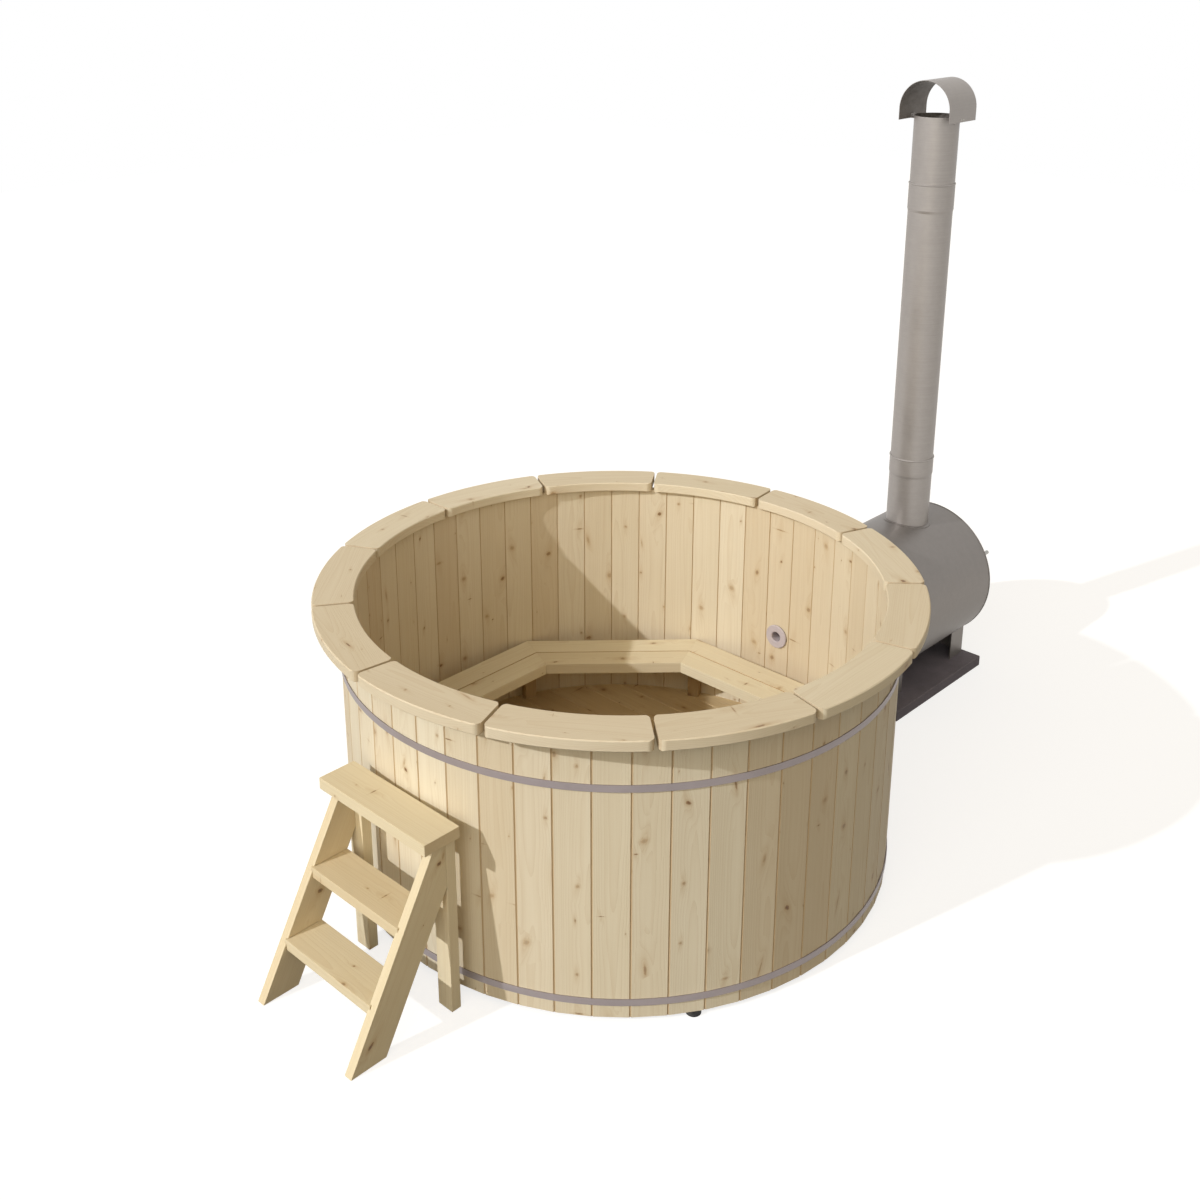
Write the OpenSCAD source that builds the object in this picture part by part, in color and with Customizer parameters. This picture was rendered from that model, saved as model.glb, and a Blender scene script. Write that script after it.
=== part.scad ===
// Round wooden hot tub of coopered staves, with an outside wood stove and a step ladder.
// The origin is the centre of the tub on the ground. +X points to the stove, the ladder
// stands at -X, and +Z is up.

/* [Tub wall] */
// Number of staves in the wall
stave_count = 52; // [40:4:64]
// Radius from the centre of the tub to the outer face of a stave
tub_r = 899; // [860:1:960]
// Thickness of a stave
stave_t = 28; // [26:1:34]
// Length of a stave
stave_len = 916; // [860:1:1000]
// Height of the lower ends of the staves above the ground
stave_lift = 15; // [10:1:25]
// Radius of the bead on one edge of a stave
bead_r = 5; // [3:0.5:6]
// Gap left between two neighbouring staves
stave_gap = 0.3; // [0.1:0.1:0.6]
// Chamfer that makes the V seam on the outside of the wall
seam_outside = 3; // [1:0.5:4]
// Chamfer that makes the V seam on the inside of the wall
seam_inside = 2; // [0.5:0.5:3]

/* [Floor] */
// Height of the top of the floor above the ground
floor_h = 91; // [86:1:110]
// Thickness of the floor boards
floor_t = 28; // [22:1:34]
// Depth of the groove in the staves that holds the floor
croze_depth = 10; // [6:1:12]
// Number of floor boards
floor_board_count = 15; // [11:2:19]
// Gap between two floor boards
floor_gap = 0.4; // [0.2:0.1:1]
// Chamfer that makes the V seam between two floor boards
floor_seam = 2; // [0.5:0.5:3]
// Width of the tongue on a floor board
floor_tongue = 6; // [4:1:8]
// Number of bearers under the floor
bearer_count = 3; // [3:2:5]
// Width of a bearer
bearer_w = 70; // [45:5:95]
// Distance between the bearers
bearer_pitch = 300; // [250:10:320]
// Radius of a rubber pad under the wall
pad_r = 23; // [18:1:26]
// Number of rubber pads under the wall
pad_count = 4; // [4:1:8]
// Direction of the first rubber pad
pad_angle = 57; // [50:1:64]

/* [Hoops] */
// Width of a hoop band
hoop_w = 22; // [18:1:30]
// Thickness of a hoop band
hoop_t = 3; // [2:0.5:4]
// Distance from the upper ends of the staves down to the middle of the upper hoop
hoop_upper_down = 160; // [120:1:200]
// Distance from the lower ends of the staves up to the middle of the lower hoop
hoop_lower_up = 54; // [40:1:70]
// Direction in which the hoops are closed
hoop_joint_angle = 128; // [120:1:140]
// Distance between the two lugs of a hoop
lug_gap = 46; // [36:1:60]
// Height of a lug out from the hoop band
lug_out = 30; // [26:1:40]
// Thickness of a lug
lug_t = 4; // [3:0.5:6]
// Radius of the hoop bolt
hoop_bolt_r = 4; // [3:0.5:5]

/* [Rim] */
// Number of rim boards
rim_count = 13; // [10:1:16]
// Distance by which the rim stands in over the inside of the wall
rim_over = 22; // [10:1:35]
// Width of the rim
rim_w = 132; // [115:1:150]
// Thickness of the rim boards
rim_t = 34; // [28:1:45]
// Gap between two rim boards
rim_gap = 10; // [4:1:16]
// Radius of the corners of a rim board
rim_corner_r = 20; // [10:1:30]
// Chamfer along the curved edges of a rim board
rim_ease = 3; // [1:0.5:5]
// Direction of the first gap in the rim
rim_gap_angle = 7; // [0:1:27]

/* [Bench] */
// Height of the bench seat above the ground
bench_h = 325; // [300:1:420]
// Thickness of the bench boards
bench_t = 42; // [32:1:48]
// Width of a bench board
bench_board_w = 94; // [80:1:110]
// Gap between the two rows of bench boards
bench_gap = 3; // [2:1:8]
// Gap in the mitre between two bench boards
mitre_gap = 0.5; // [0.5:0.5:3]
// Gap between the corners of the bench and the wall
bench_wall_gap = 1.5; // [1:0.5:4]
// Width of a bench bearer, of its post and of a wall cleat
bench_post_w = 45; // [38:1:60]
// Height of a bench bearer at the wall
bench_bearer_h = 60; // [50:1:70]
// Height of a bench bearer at its tip
bench_tip_h = 16; // [12:1:24]
// Setback of the tip of a bench bearer from the corner of the seat
bench_tip_back = 30; // [20:1:45]
// Depth of a bench post out from the wall
bench_post_d = 40; // [32:1:55]
// Height of a wall cleat
cleat_h = 50; // [40:1:55]
// Length of a wall cleat under the outer bench boards
cleat_rest = 40; // [30:1:60]
// Angle between a wall cleat and the middle of its side of the bench
cleat_angle = 9; // [8:0.5:12]

/* [Water fittings] */
// Height of the upper water fitting above the bench
upper_fitting_up = 106; // [90:1:130]
// Height of the lower water fitting above the floor
lower_fitting_up = 89; // [75:1:99]
// Height of the drain fitting above the floor
drain_up = 59; // [55:1:75]
// Radius of the flange inside the wall
flange_r = 45.5; // [42:0.5:48]
// Thickness of the flange
flange_t = 6; // [4:0.5:8]
// Outer radius of the threaded spigot
spigot_r = 25; // [24:0.5:27]
// Inner radius of the spigot
spigot_bore_r = 19; // [17:0.5:20]
// Length of a spigot outside the wall
spigot_out = 62; // [58:1:75]
// Thickness of a gasket
gasket_t = 2.5; // [1.5:0.5:4]
// Radius of a locknut to its corners
locknut_r = 38; // [36:1:41]
// Thickness of a locknut
locknut_t = 12; // [9:1:14]
// Thickness of the hose wall
hose_wall = 6; // [4:0.5:8]
// Distance from the locknut to the end of the hose
hose_back = 4; // [2:1:8]
// Width of a hose clamp
clamp_w = 13; // [9:1:16]

/* [Drain valve] */
// Length of the valve's inlet socket
valve_socket_l = 24; // [20:1:28]
// Radius of the valve's barrel
valve_r = 31; // [30:0.5:36]
// Length of the valve's barrel
valve_l = 56; // [54:1:70]
// Length of the outlet tail
valve_tail_l = 44; // [36:1:60]
// Radius of the ball
ball_r = 24; // [22:0.5:25]
// Radius of the bore through the ball
ball_bore_r = 15; // [12:0.5:16]
// Radius of the stem
stem_r = 6; // [5:0.5:8]
// Height of the bonnet above the middle of the valve
bonnet_h = 46; // [42:1:56]
// Length of the valve handle
handle_l = 118; // [90:1:150]
// Width of the valve handle
handle_w = 24; // [20:1:30]
// Thickness of the valve handle
handle_t = 4; // [3:0.5:6]
// Height by which the grip of the handle is cranked up
handle_rise = 12; // [6:1:20]

/* [Stove] */
// Gap between the wall and the stove's drum
stove_gap = 443; // [400:1:520]
// Length of the drum
drum_len = 616; // [560:1:680]
// Outer radius of the drum
drum_r = 288; // [270:1:310]
// Height of the underside of the drum above the slab
drum_lift = 32; // [20:1:60]
// Thickness of the drum's shell and ends
drum_wall = 4; // [3:0.5:6]
// Inner radius of the firebox
firebox_r = 200; // [180:1:215]
// Width of the water space between the firebox and the tub end of the drum
water_end = 70; // [55:1:100]
// Distance by which the firebox stands out of the drum as the door frame
mouth_out = 20; // [14:1:30]
// Depth of the grate's top below the axis of the firebox
grate_drop = 110; // [90:1:130]
// Thickness of the grate
grate_t = 10; // [8:1:14]
// Number of slots in the grate
grate_slots = 9; // [5:2:13]
// Width of a slot in the grate
grate_slot_w = 12; // [8:1:14]
// Length of a stove leg along the drum
leg_len = 105; // [80:1:140]
// Half of the width of a stove leg
leg_half_w = 209; // [180:1:230]
// Thickness of the leg sheet
leg_t = 5; // [3:0.5:8]
// Outer radius of the bends in a stove leg
leg_bend_r = 14; // [10:1:24]
// Distance from the door end of the drum to the rear leg
leg_rear_in = 33; // [20:1:60]
// Thickness of the base slab
slab_t = 42; // [35:1:50]
// Half of the width of the base slab
slab_half_w = 287; // [270:1:310]
// Distance by which the slab stands out towards the tub
slab_front_out = 47; // [20:1:80]
// Distance by which the slab stands out past the rear leg
slab_rear_out = 8; // [4:1:30]

/* [Stove door] */
// Distance by which the door stands out over the door frame
door_over = 10; // [7:1:16]
// Thickness of the door
door_t = 6; // [5:0.5:8]
// Thickness of the rope gasket
rope_t = 8; // [6:0.5:10]
// Width of the rope gasket
rope_w = 10; // [8:1:12]
// Distance from the edge of the door to the hinge axis
hinge_out = 24; // [20:1:28]
// Outer radius of a hinge barrel
barrel_r = 10; // [9:0.5:12]
// Radius of a hinge pin
hinge_pin_r = 6; // [5:0.5:7]
// Height of a hinge barrel
barrel_h = 28; // [24:1:34]
// Height of the hinges above and below the drum's axis
hinge_off = 72; // [60:1:90]
// Thickness of a hinge strap
strap_t = 5; // [4:0.5:7]
// Length of a hinge strap across the door
strap_l = 300; // [220:1:340]
// Radius of the air vent disc
vent_r = 44; // [38:1:48]
// Thickness of the air vent disc
vent_t = 4; // [3:0.5:6]
// Radius of an air hole
vent_hole_r = 10; // [7:0.5:11]
// Distance of the air holes from the vent's centre
vent_hole_at = 26; // [24:1:30]
// Depth of the air vent below the middle of the door
vent_drop = 142; // [136:1:148]
// Distance between the edge of the door and the latch keeper
keeper_gap = 4; // [3:0.5:8]
// Width of the latch keeper
keeper_w = 18; // [14:1:24]
// Width of the latch bar
latch_w = 25; // [20:1:30]
// Thickness of the latch bar
latch_t = 6; // [5:0.5:8]
// Distance of the latch pivot from the middle of the door
latch_at = 150; // [145:1:156]
// Angle by which the open latch is lifted
latch_lift = 60; // [50:1:70]
// Length of the latch grip
grip_l = 80; // [60:1:110]
// Radius of the latch grip
grip_r = 8; // [6:0.5:11]

/* [Chimney] */
// Distance from the tub end of the drum to the chimney's axis
flue_at = 403; // [380:1:430]
// Outer radius of the chimney pipe
flue_r = 85; // [75:1:90]
// Thickness of the chimney pipe
flue_wall = 2; // [1.5:0.5:3]
// Height of the top of the lower socket above the drum
flue_neck_l = 280; // [220:1:340]
// Length of the chimney pipe above the lower socket
pipe_l = 1108; // [900:1:1300]
// Length of the lower socket
socket_lower_l = 70; // [60:1:90]
// Length of the upper socket
socket_upper_l = 100; // [70:1:110]
// Length of the chimney top above the upper socket
flue_top_l = 251; // [200:1:320]
// Radius of the rolled bead round a socket
socket_bead = 2; // [1:0.5:3]
// Width of the collar on the drum
collar_w = 11; // [8:1:24]
// Inner half width of the hood
hood_r = 106; // [100:1:116]
// Thickness of the hood sheet
hood_t = 2; // [1.5:0.5:3]
// Length of the hood
hood_l = 190; // [170:1:220]
// Depth of the hood below the top of the pipe
hood_drop = 17; // [10:1:30]
// Height of the straight sides of the hood
hood_side = 44; // [30:1:60]
// Width of a hood bracket
bracket_w = 30; // [20:1:40]
// Height of a hood bracket
bracket_h = 26; // [22:1:30]

/* [Ladder] */
// Gap between the wall and the posts of the ladder
ladder_gap = 30; // [20:1:90]
// Width of the ladder over its stringers
ladder_w = 445; // [400:1:520]
// Distance of the ladder's middle from the tub's centre line
ladder_shift = -20; // [-80:1:80]
// Height of the ladder
ladder_h = 616; // [580:1:660]
// Thickness of the stringers
stringer_t = 30; // [26:1:36]
// Width of a stringer along the ground
stringer_w = 122; // [105:1:140]
// Run of the stringers' front edge towards the wall over the ladder's height
ladder_run = 320; // [290:1:350]
// Width of a stringer at its upper end
stringer_top_w = 40; // [30:1:60]
// Thickness of a post
post_t = 34; // [28:1:40]
// Width of a post
post_w = 60; // [45:1:70]
// Thickness of the treads
tread_t = 35; // [28:1:40]
// Height of the lower tread
tread_lower_h = 177; // [160:1:200]
// Height of the upper tread
tread_upper_h = 369; // [350:1:400]
// Distance by which a tread stands out of the stringers
tread_nose = 6; // [2:1:14]
// Depth of the tread's housing in a stringer
housing = 8; // [5:1:12]
// Thickness of the top board
top_t = 38; // [32:1:44]
// Overhang of the top board in front of the stringers
top_front = 46; // [30:1:60]
// Overhang of the top board behind the posts
top_back = 6; // [0:1:20]
// Overhang of the top board at each side
top_side = 16; // [8:1:24]

/* [Hidden] */
$fn = 96;

spruce = [0.87, 0.80, 0.66];
spruce_dark = [0.80, 0.71, 0.54];
stove_grey = [0.51, 0.49, 0.47];
pipe_grey = [0.59, 0.57, 0.54];
zinc = [0.65, 0.60, 0.60];
slab_grey = [0.31, 0.30, 0.30];
rubber_black = [0.10, 0.10, 0.10];
plastic_grey = [0.72, 0.70, 0.72];

// Clearances: between pieces that are fitted together, and round a turning pin
seat = 0.3;
pin_fit = 0.05;
// Play over a tongue or in a groove
groove_play = 0.2;
// Length by which a cutting shape runs past the face that it cuts
past = 1;

// Tub wall
stave_step = 360 / stave_count;
stave_half = stave_step / 2;
wall_in_r = tub_r - stave_t;
wall_mid_r = tub_r - stave_t / 2;
wall_top = stave_lift + stave_len;
drain_index = stave_count / 4;
stave_hole_r = spigot_r + seat;
wall_corner_r = norm([tub_r, half_width(tub_r) - seam_outside]);

// Floor
floor_bottom = floor_h - floor_t;
floor_r = wall_in_r + croze_depth - seat;
floor_pitch = 2 * floor_r / floor_board_count;
tongue_t = floor_t / 3;
bearer_room = wall_in_r - 2;
pad_chamfer = 2;

// Hoops
hoop_upper_h = wall_top - hoop_upper_down;
hoop_lower_h = stave_lift + hoop_lower_up;
hoop_in_r = wall_corner_r + seat;
lug_half_angle = asin((lug_gap + lug_t) / 2 / hoop_in_r);
lug_inset = 1;
bolt_at = hoop_in_r + hoop_t + lug_out / 2;
bolt_head_r = 2 * hoop_bolt_r;
bolt_head_t = 1.4 * hoop_bolt_r;
nut_t = 1.6 * hoop_bolt_r;

// Rim
rim_in_r = wall_in_r - rim_over;
rim_out_r = rim_in_r + rim_w;
rim_step = 360 / rim_count;

// Bench
bench_sides = 8;
bench_step = 360 / bench_sides;
bench_out = (wall_in_r - bench_wall_gap) * cos(bench_step / 2);
bench_mid_out = bench_out - bench_board_w;
bench_mid_in = bench_mid_out - bench_gap;
bench_in = bench_mid_in - bench_board_w;
bench_corner_in = bench_in / cos(bench_step / 2);
bench_under = bench_h - bench_t;
bench_bearer_in = bench_corner_in + bench_tip_back;
bench_bearer_out = sqrt(pow(wall_in_r - seat, 2) - pow(bench_post_w / 2, 2));
bench_post_in = bench_bearer_out - bench_post_d;
bench_post_top = bench_under - bench_bearer_h;
cleat_in = bench_out / cos(cleat_angle) - cleat_rest;

// Water fittings
upper_fitting_h = bench_h + upper_fitting_up;
lower_fitting_h = floor_h + lower_fitting_up;
drain_h = floor_h + drain_up;
fitting_out = stave_t + spigot_out;
locknut_end = stave_t + gasket_t + locknut_t;
locknut_sides = 8;
washer_r = locknut_r * cos(180 / locknut_sides) - 1;
hose_r = spigot_r + seat;
hose_out_r = hose_r + hose_wall;
hose_start = wall_in_r + locknut_end + hose_back;
clamp_in_r = hose_out_r + seat;
clamp_t = 1.5;
clamp_in = 6;
housing_l = 22;
clamp_head_t = 5;
flange_chamfer = 2.5;

// Drain valve, from the centre of the tub outwards
valve_start = wall_in_r + fitting_out - valve_socket_l + past;
valve_mid = valve_start + valve_socket_l + valve_l / 2;
valve_tail_start = valve_start + valve_socket_l + valve_l;
valve_end = valve_tail_start + valve_tail_l;
socket_r = valve_r + 4;
bonnet_r = stem_r + 7;
handle_nut_t = 6;
handle_nut_r = 1.8 * stem_r;
valve_chamfer = 6;
stem_top = bonnet_h + seat + handle_t + handle_nut_t + past;

// Stove
drum_h = slab_t + drum_lift + drum_r;
drum_start = tub_r + stove_gap;
drum_end = drum_start + drum_len;
firebox_start = drum_start + water_end;
mouth_end = drum_end + mouth_out;
firebox_out_r = firebox_r + drum_wall;
stub_out = 60;
hose_end = drum_start - hose_back;
grate_half_w = sqrt(pow(firebox_r, 2) - pow(grate_drop + grate_t, 2)) - seat;
grate_start = firebox_start + drum_wall + 10;
grate_end = drum_end;
grate_edge = 22;
leg_rear_start = drum_end - leg_rear_in - leg_len;
leg_room = slab_t + drum_r;
slab_start = drum_start - slab_front_out;
slab_end = drum_end - leg_rear_in + slab_rear_out;
slab_chamfer = 3;

// Stove door, from the drum's mouth outwards
rope_start = mouth_end + seat;
door_r = firebox_out_r + door_over;
door_start = rope_start + rope_t;
door_end = door_start + door_t;
rope_mid_r = firebox_r + drum_wall / 2;
hinge_y = door_r + hinge_out;
hinge_x = door_end + strap_t / 2;
barrel_gap = 0.5;
pin_head_out = 2;
bracket_t = 6;
strap_h = barrel_h;
vent_start = door_end + seat;
vent_end = vent_start + vent_t;
rivet_r = 5;
rivet_head_r = 9;
rivet_head_t = 3;
vent_holes = 4;
vent_knob_at = vent_r - 8;
vent_knob_l = 22;
vent_knob_r = 5;
knob_chamfer = 2;
latch_start = door_end + strap_t + seat;
latch_end = latch_start + latch_t;
keeper_in = door_r + keeper_gap;
keeper_out = keeper_in + keeper_w;
keeper_t = 5;
grip_at = keeper_out + keeper_gap + grip_r - latch_at;
latch_l = grip_at + grip_r + 3;

// Chimney
socket_lower_h = drum_h + drum_r + flue_neck_l;
socket_upper_h = socket_lower_h + pipe_l;
flue_top_h = socket_upper_h + flue_top_l;
flue_x = drum_start + flue_at;
flue_in_r = flue_r - flue_wall;
socket_in_r = flue_r + seat;
socket_out_r = socket_in_r + flue_wall;
socket_taper = 10;
flue_bottom = drum_h + sqrt(pow(firebox_r, 2) - pow(flue_r, 2)) - 8;
hood_bottom = flue_top_h - hood_drop;
hood_mid = hood_bottom + hood_side;
collar_t = 3;

// Ladder, from the wall outwards
post_back_x = -tub_r - ladder_gap;
post_front_x = post_back_x - post_t;
ladder_low = ladder_shift - ladder_w / 2;
ladder_high = ladder_shift + ladder_w / 2;
top_bottom = ladder_h - top_t;
stringer_top_x = post_front_x - stringer_top_w;
stringer_foot_x = stringer_top_x - ladder_run;
stringer_slope = ladder_run / top_bottom;
heel_h = (post_front_x - stringer_foot_x - stringer_w) / stringer_slope;
tread_d = stringer_w + tread_nose;

// Half of the width of a stave at a distance r from the centre
function half_width(r) = r * tan(stave_half) - stave_gap / 2;
// Front edge of the stringers at a height z
function stringer_front(z) = stringer_foot_x + z * stringer_slope;

// Turns what is drawn along Z so that it lies along X
module along_x() {
    rotate([0, 90, 0]) children();
}

// A ring along Z
module ring(r_in, r_out, h) {
    difference() {
        cylinder(r = r_out, h = h);
        translate([0, 0, -past]) cylinder(r = r_in, h = h + 2 * past);
    }
}

// A round bar along Z with a chamfer at its upper end and one at its lower end
module rod(r, l, low_chamfer, high_chamfer) {
    rotate_extrude() polygon([
        [0, 0], [r - low_chamfer, 0], [r, low_chamfer],
        [r, l - high_chamfer], [r - high_chamfer, l], [0, l]
    ]);
}

// A board from corner a to corner b
module board(a, b) {
    translate(a) cube(b - a);
}

// ---------- Tub wall ----------

// Cross-section of a stave, with a bead on its left edge and a cove on its right edge
module stave_plan() {
    bead_at = wall_mid_r * tan(stave_half);
    difference() {
        union() {
            polygon([
                [wall_in_r, -half_width(wall_in_r) + seam_inside],
                [wall_in_r + seam_inside, -half_width(wall_in_r + seam_inside)],
                [tub_r - seam_outside, -half_width(tub_r - seam_outside)],
                [tub_r, -half_width(tub_r) + seam_outside],
                [tub_r, half_width(tub_r) - seam_outside],
                [tub_r - seam_outside, half_width(tub_r - seam_outside)],
                [wall_in_r + seam_inside, half_width(wall_in_r + seam_inside)],
                [wall_in_r, half_width(wall_in_r) - seam_inside]
            ]);
            translate([wall_mid_r, bead_at]) circle(r = bead_r);
        }
        translate([wall_mid_r, -bead_at]) circle(r = bead_r + groove_play);
    }
}

// One stave with the croze that the floor sits in
module stave() {
    difference() {
        translate([0, 0, stave_lift]) linear_extrude(stave_len) stave_plan();
        translate([0, 0, floor_bottom - groove_play])
            cylinder(r = wall_in_r + croze_depth, h = floor_t + 2 * groove_play);
    }
}

// A hole through the wall for a water fitting
module wall_hole(h) {
    translate([wall_in_r - past, 0, h]) along_x()
        cylinder(r = stave_hole_r, h = stave_t + 2 * past);
}

module staves() {
    color(spruce)
        for (i = [0:stave_count - 1])
            if (i != 0 && i != drain_index)
                rotate(i * stave_step) stave();
}

module stove_stave() {
    color(spruce) difference() {
        stave();
        wall_hole(upper_fitting_h);
        wall_hole(lower_fitting_h);
    }
}

module drain_stave() {
    color(spruce) rotate(drain_index * stave_step) difference() {
        stave();
        wall_hole(drain_h);
    }
}

// ---------- Floor ----------

// Cross-section of a floor board, with a tongue on its right edge and a groove on its left edge
module floor_board_end() {
    w = floor_pitch - floor_gap;
    difference() {
        union() {
            polygon([
                [-w / 2, 0], [w / 2, 0], [w / 2, floor_t - floor_seam], [w / 2 - floor_seam, floor_t],
                [floor_seam - w / 2, floor_t], [-w / 2, floor_t - floor_seam]
            ]);
            translate([0, tongue_t]) square([w / 2 + floor_tongue, tongue_t]);
        }
        translate([-w / 2 - past, tongue_t - groove_play])
            square([floor_tongue + past + groove_play, tongue_t + 2 * groove_play]);
    }
}

module floor_boards() {
    color(spruce_dark)
        for (i = [0:floor_board_count - 1])
            intersection() {
                translate([0, 0, floor_bottom]) cylinder(r = floor_r, h = floor_t);
                translate([(i - (floor_board_count - 1) / 2) * floor_pitch, floor_r, floor_bottom])
                    rotate([90, 0, 0]) linear_extrude(2 * floor_r) floor_board_end();
            }
}

module floor_bearers() {
    color(spruce_dark)
        for (i = [0:bearer_count - 1]) {
            y = (i - (bearer_count - 1) / 2) * bearer_pitch;
            half = sqrt(pow(bearer_room, 2) - pow(abs(y) + bearer_w / 2, 2));
            board([-half, y - bearer_w / 2, 0], [half, y + bearer_w / 2, floor_bottom]);
        }
}

module support_pads() {
    color(rubber_black)
        for (i = [0:pad_count - 1])
            rotate(pad_angle + i * 360 / pad_count) translate([wall_mid_r, 0, 0]) {
                cylinder(r1 = pad_r - pad_chamfer, r2 = pad_r, h = pad_chamfer);
                translate([0, 0, pad_chamfer]) cylinder(r = pad_r, h = stave_lift - pad_chamfer);
            }
}

// ---------- Hoops ----------

// A flat band that ends in two upright lugs with a hole for the bolt
module hoop(h) {
    rotate(hoop_joint_angle) translate([0, 0, h - hoop_w / 2]) {
        rotate(lug_half_angle)
            rotate_extrude(angle = 360 - 2 * lug_half_angle)
                translate([hoop_in_r, 0]) square([hoop_t, hoop_w]);
        for (side = [0, 1])
            mirror([0, side, 0]) difference() {
                translate([hoop_in_r, lug_gap / 2, lug_inset])
                    cube([hoop_t + lug_out, lug_t, hoop_w - 2 * lug_inset]);
                translate([bolt_at, lug_gap / 2 - past, hoop_w / 2]) rotate([-90, 0, 0])
                    cylinder(r = hoop_bolt_r + seat, h = lug_t + 2 * past);
            }
    }
}

module upper_hoop() {
    color(zinc) hoop(hoop_upper_h);
}

module lower_hoop() {
    color(zinc) hoop(hoop_lower_h);
}

// The bolt and nut that pull a hoop tight
module hoop_bolt() {
    shank = lug_gap + 2 * lug_t + nut_t + hoop_bolt_r;
    translate([0, -lug_gap / 2 - lug_t, 0]) rotate([-90, 0, 0]) {
        translate([0, 0, -bolt_head_t]) cylinder(r = bolt_head_r, h = bolt_head_t, $fn = 6);
        rod(hoop_bolt_r, shank, 0, hoop_bolt_r / 4);
    }
    translate([0, lug_gap / 2 + lug_t, 0]) rotate([-90, 0, 0]) difference() {
        cylinder(r = bolt_head_r, h = nut_t, $fn = 6);
        translate([0, 0, -past]) cylinder(r = hoop_bolt_r + pin_fit, h = nut_t + 2 * past);
    }
}

module hoop_bolts() {
    color(zinc) rotate(hoop_joint_angle)
        for (h = [hoop_upper_h, hoop_lower_h])
            translate([bolt_at, 0, h]) hoop_bolt();
}

// ---------- Rim ----------

// What is cut away to round one corner of a rim board. r is the radius of the edge, and way
// is 1 for the outer edge and -1 for the inner edge.
module rim_corner(r, way) {
    centre_r = r - way * rim_corner_r;
    a = rim_step / 2 - asin((rim_gap / 2 + rim_corner_r) / centre_r);
    centre = centre_r * [cos(a), sin(a)];
    out = way * 2 * rim_corner_r * [cos(a), sin(a)];
    across = 2 * rim_corner_r * [-sin(rim_step / 2), cos(rim_step / 2)];
    difference() {
        polygon([centre, centre + out, centre + out + across, centre + across]);
        translate(centre) circle(r = rim_corner_r);
    }
}

// Outline of a rim board, with its middle on X
module rim_plan() {
    tip = rim_gap / 2 / sin(rim_step / 2);
    reach = 1.2 * rim_out_r;
    difference() {
        intersection() {
            difference() {
                circle(r = rim_out_r);
                circle(r = rim_in_r);
            }
            polygon([
                [tip, 0],
                [tip, 0] + reach * [cos(rim_step / 2), sin(rim_step / 2)],
                [tip, 0] + reach * [cos(rim_step / 2), -sin(rim_step / 2)]
            ]);
        }
        for (side = [0, 1])
            mirror([0, side]) {
                rim_corner(rim_out_r, 1);
                rim_corner(rim_in_r, -1);
            }
    }
}

module rim_boards() {
    color(spruce)
        for (i = [0:rim_count - 1])
            rotate(rim_gap_angle + (i + 0.5) * rim_step) translate([0, 0, wall_top])
                intersection() {
                    linear_extrude(rim_t) rim_plan();
                    rotate_extrude() polygon([
                        [rim_in_r, rim_ease], [rim_in_r + rim_ease, 0],
                        [rim_out_r - rim_ease, 0], [rim_out_r, rim_ease],
                        [rim_out_r, rim_t - rim_ease], [rim_out_r - rim_ease, rim_t],
                        [rim_in_r + rim_ease, rim_t], [rim_in_r, rim_t - rim_ease]
                    ]);
                }
}

// ---------- Bench ----------

// Eight mitred boards between two distances from the centre
module bench_row(near, far) {
    function half(r) = r * tan(bench_step / 2) - mitre_gap / 2;
    for (i = [0:bench_sides - 1])
        rotate(i * bench_step) translate([0, 0, bench_under]) linear_extrude(bench_t)
            polygon([
                [near, -half(near)], [far, -half(far)], [far, half(far)], [near, half(near)]
            ]);
}

module bench_outer_boards() {
    color(spruce) bench_row(bench_mid_out, bench_out);
}

module bench_inner_boards() {
    color(spruce) bench_row(bench_in, bench_mid_in);
}

// Repeats what is drawn along X under each corner of the bench
module at_bench_corners() {
    for (i = [0:bench_sides - 1])
        rotate((i + 0.5) * bench_step) children();
}

// A timber as wide as a bench post, sawn to a side outline of distances out and heights
module bench_timber(outline) {
    translate([0, bench_post_w / 2, 0]) rotate([90, 0, 0]) linear_extrude(bench_post_w)
        polygon(outline);
}

// Arms that reach in from the posts under both rows of boards and taper towards the tip
module bench_bearers() {
    color(spruce_dark) at_bench_corners() bench_timber([
        [bench_bearer_in, bench_under],
        [bench_bearer_in, bench_under - bench_tip_h],
        [bench_post_in, bench_post_top],
        [bench_bearer_out, bench_post_top],
        [bench_bearer_out, bench_under]
    ]);
}

// Posts against the wall, from the floor to the bearers
module bench_posts() {
    color(spruce_dark) at_bench_corners() bench_timber([
        [bench_post_in, floor_h], [bench_bearer_out, floor_h],
        [bench_bearer_out, bench_post_top], [bench_post_in, bench_post_top]
    ]);
}

// Blocks with a sloping foot on the wall, two under each side of the outer row of boards
module bench_cleats() {
    color(spruce_dark)
        for (i = [0:bench_sides - 1])
            for (side = [-1, 1])
                rotate(i * bench_step + side * cleat_angle) bench_timber([
                    [cleat_in, bench_under],
                    [cleat_in, bench_under - cleat_h / 2],
                    [bench_bearer_out, bench_under - cleat_h],
                    [bench_bearer_out, bench_under]
                ]);
}

// ---------- Water fittings ----------

// Places what is drawn along Z so that it runs out through the wall from its inner face
module through_wall(angle, h) {
    rotate(angle) translate([wall_in_r, 0, h]) along_x() children();
}

// A flange inside the wall with a spigot that passes through it
module nozzle() {
    face = -gasket_t - flange_t;
    rotate_extrude() polygon([
        [spigot_bore_r, face + flange_chamfer],
        [spigot_bore_r + flange_chamfer, face],
        [flange_r - flange_chamfer, face],
        [flange_r, face + flange_chamfer],
        [flange_r, -gasket_t],
        [spigot_r, -gasket_t],
        [spigot_r, fitting_out],
        [spigot_bore_r, fitting_out]
    ]);
}

module upper_nozzle() {
    color(plastic_grey) through_wall(0, upper_fitting_h) nozzle();
}

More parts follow.
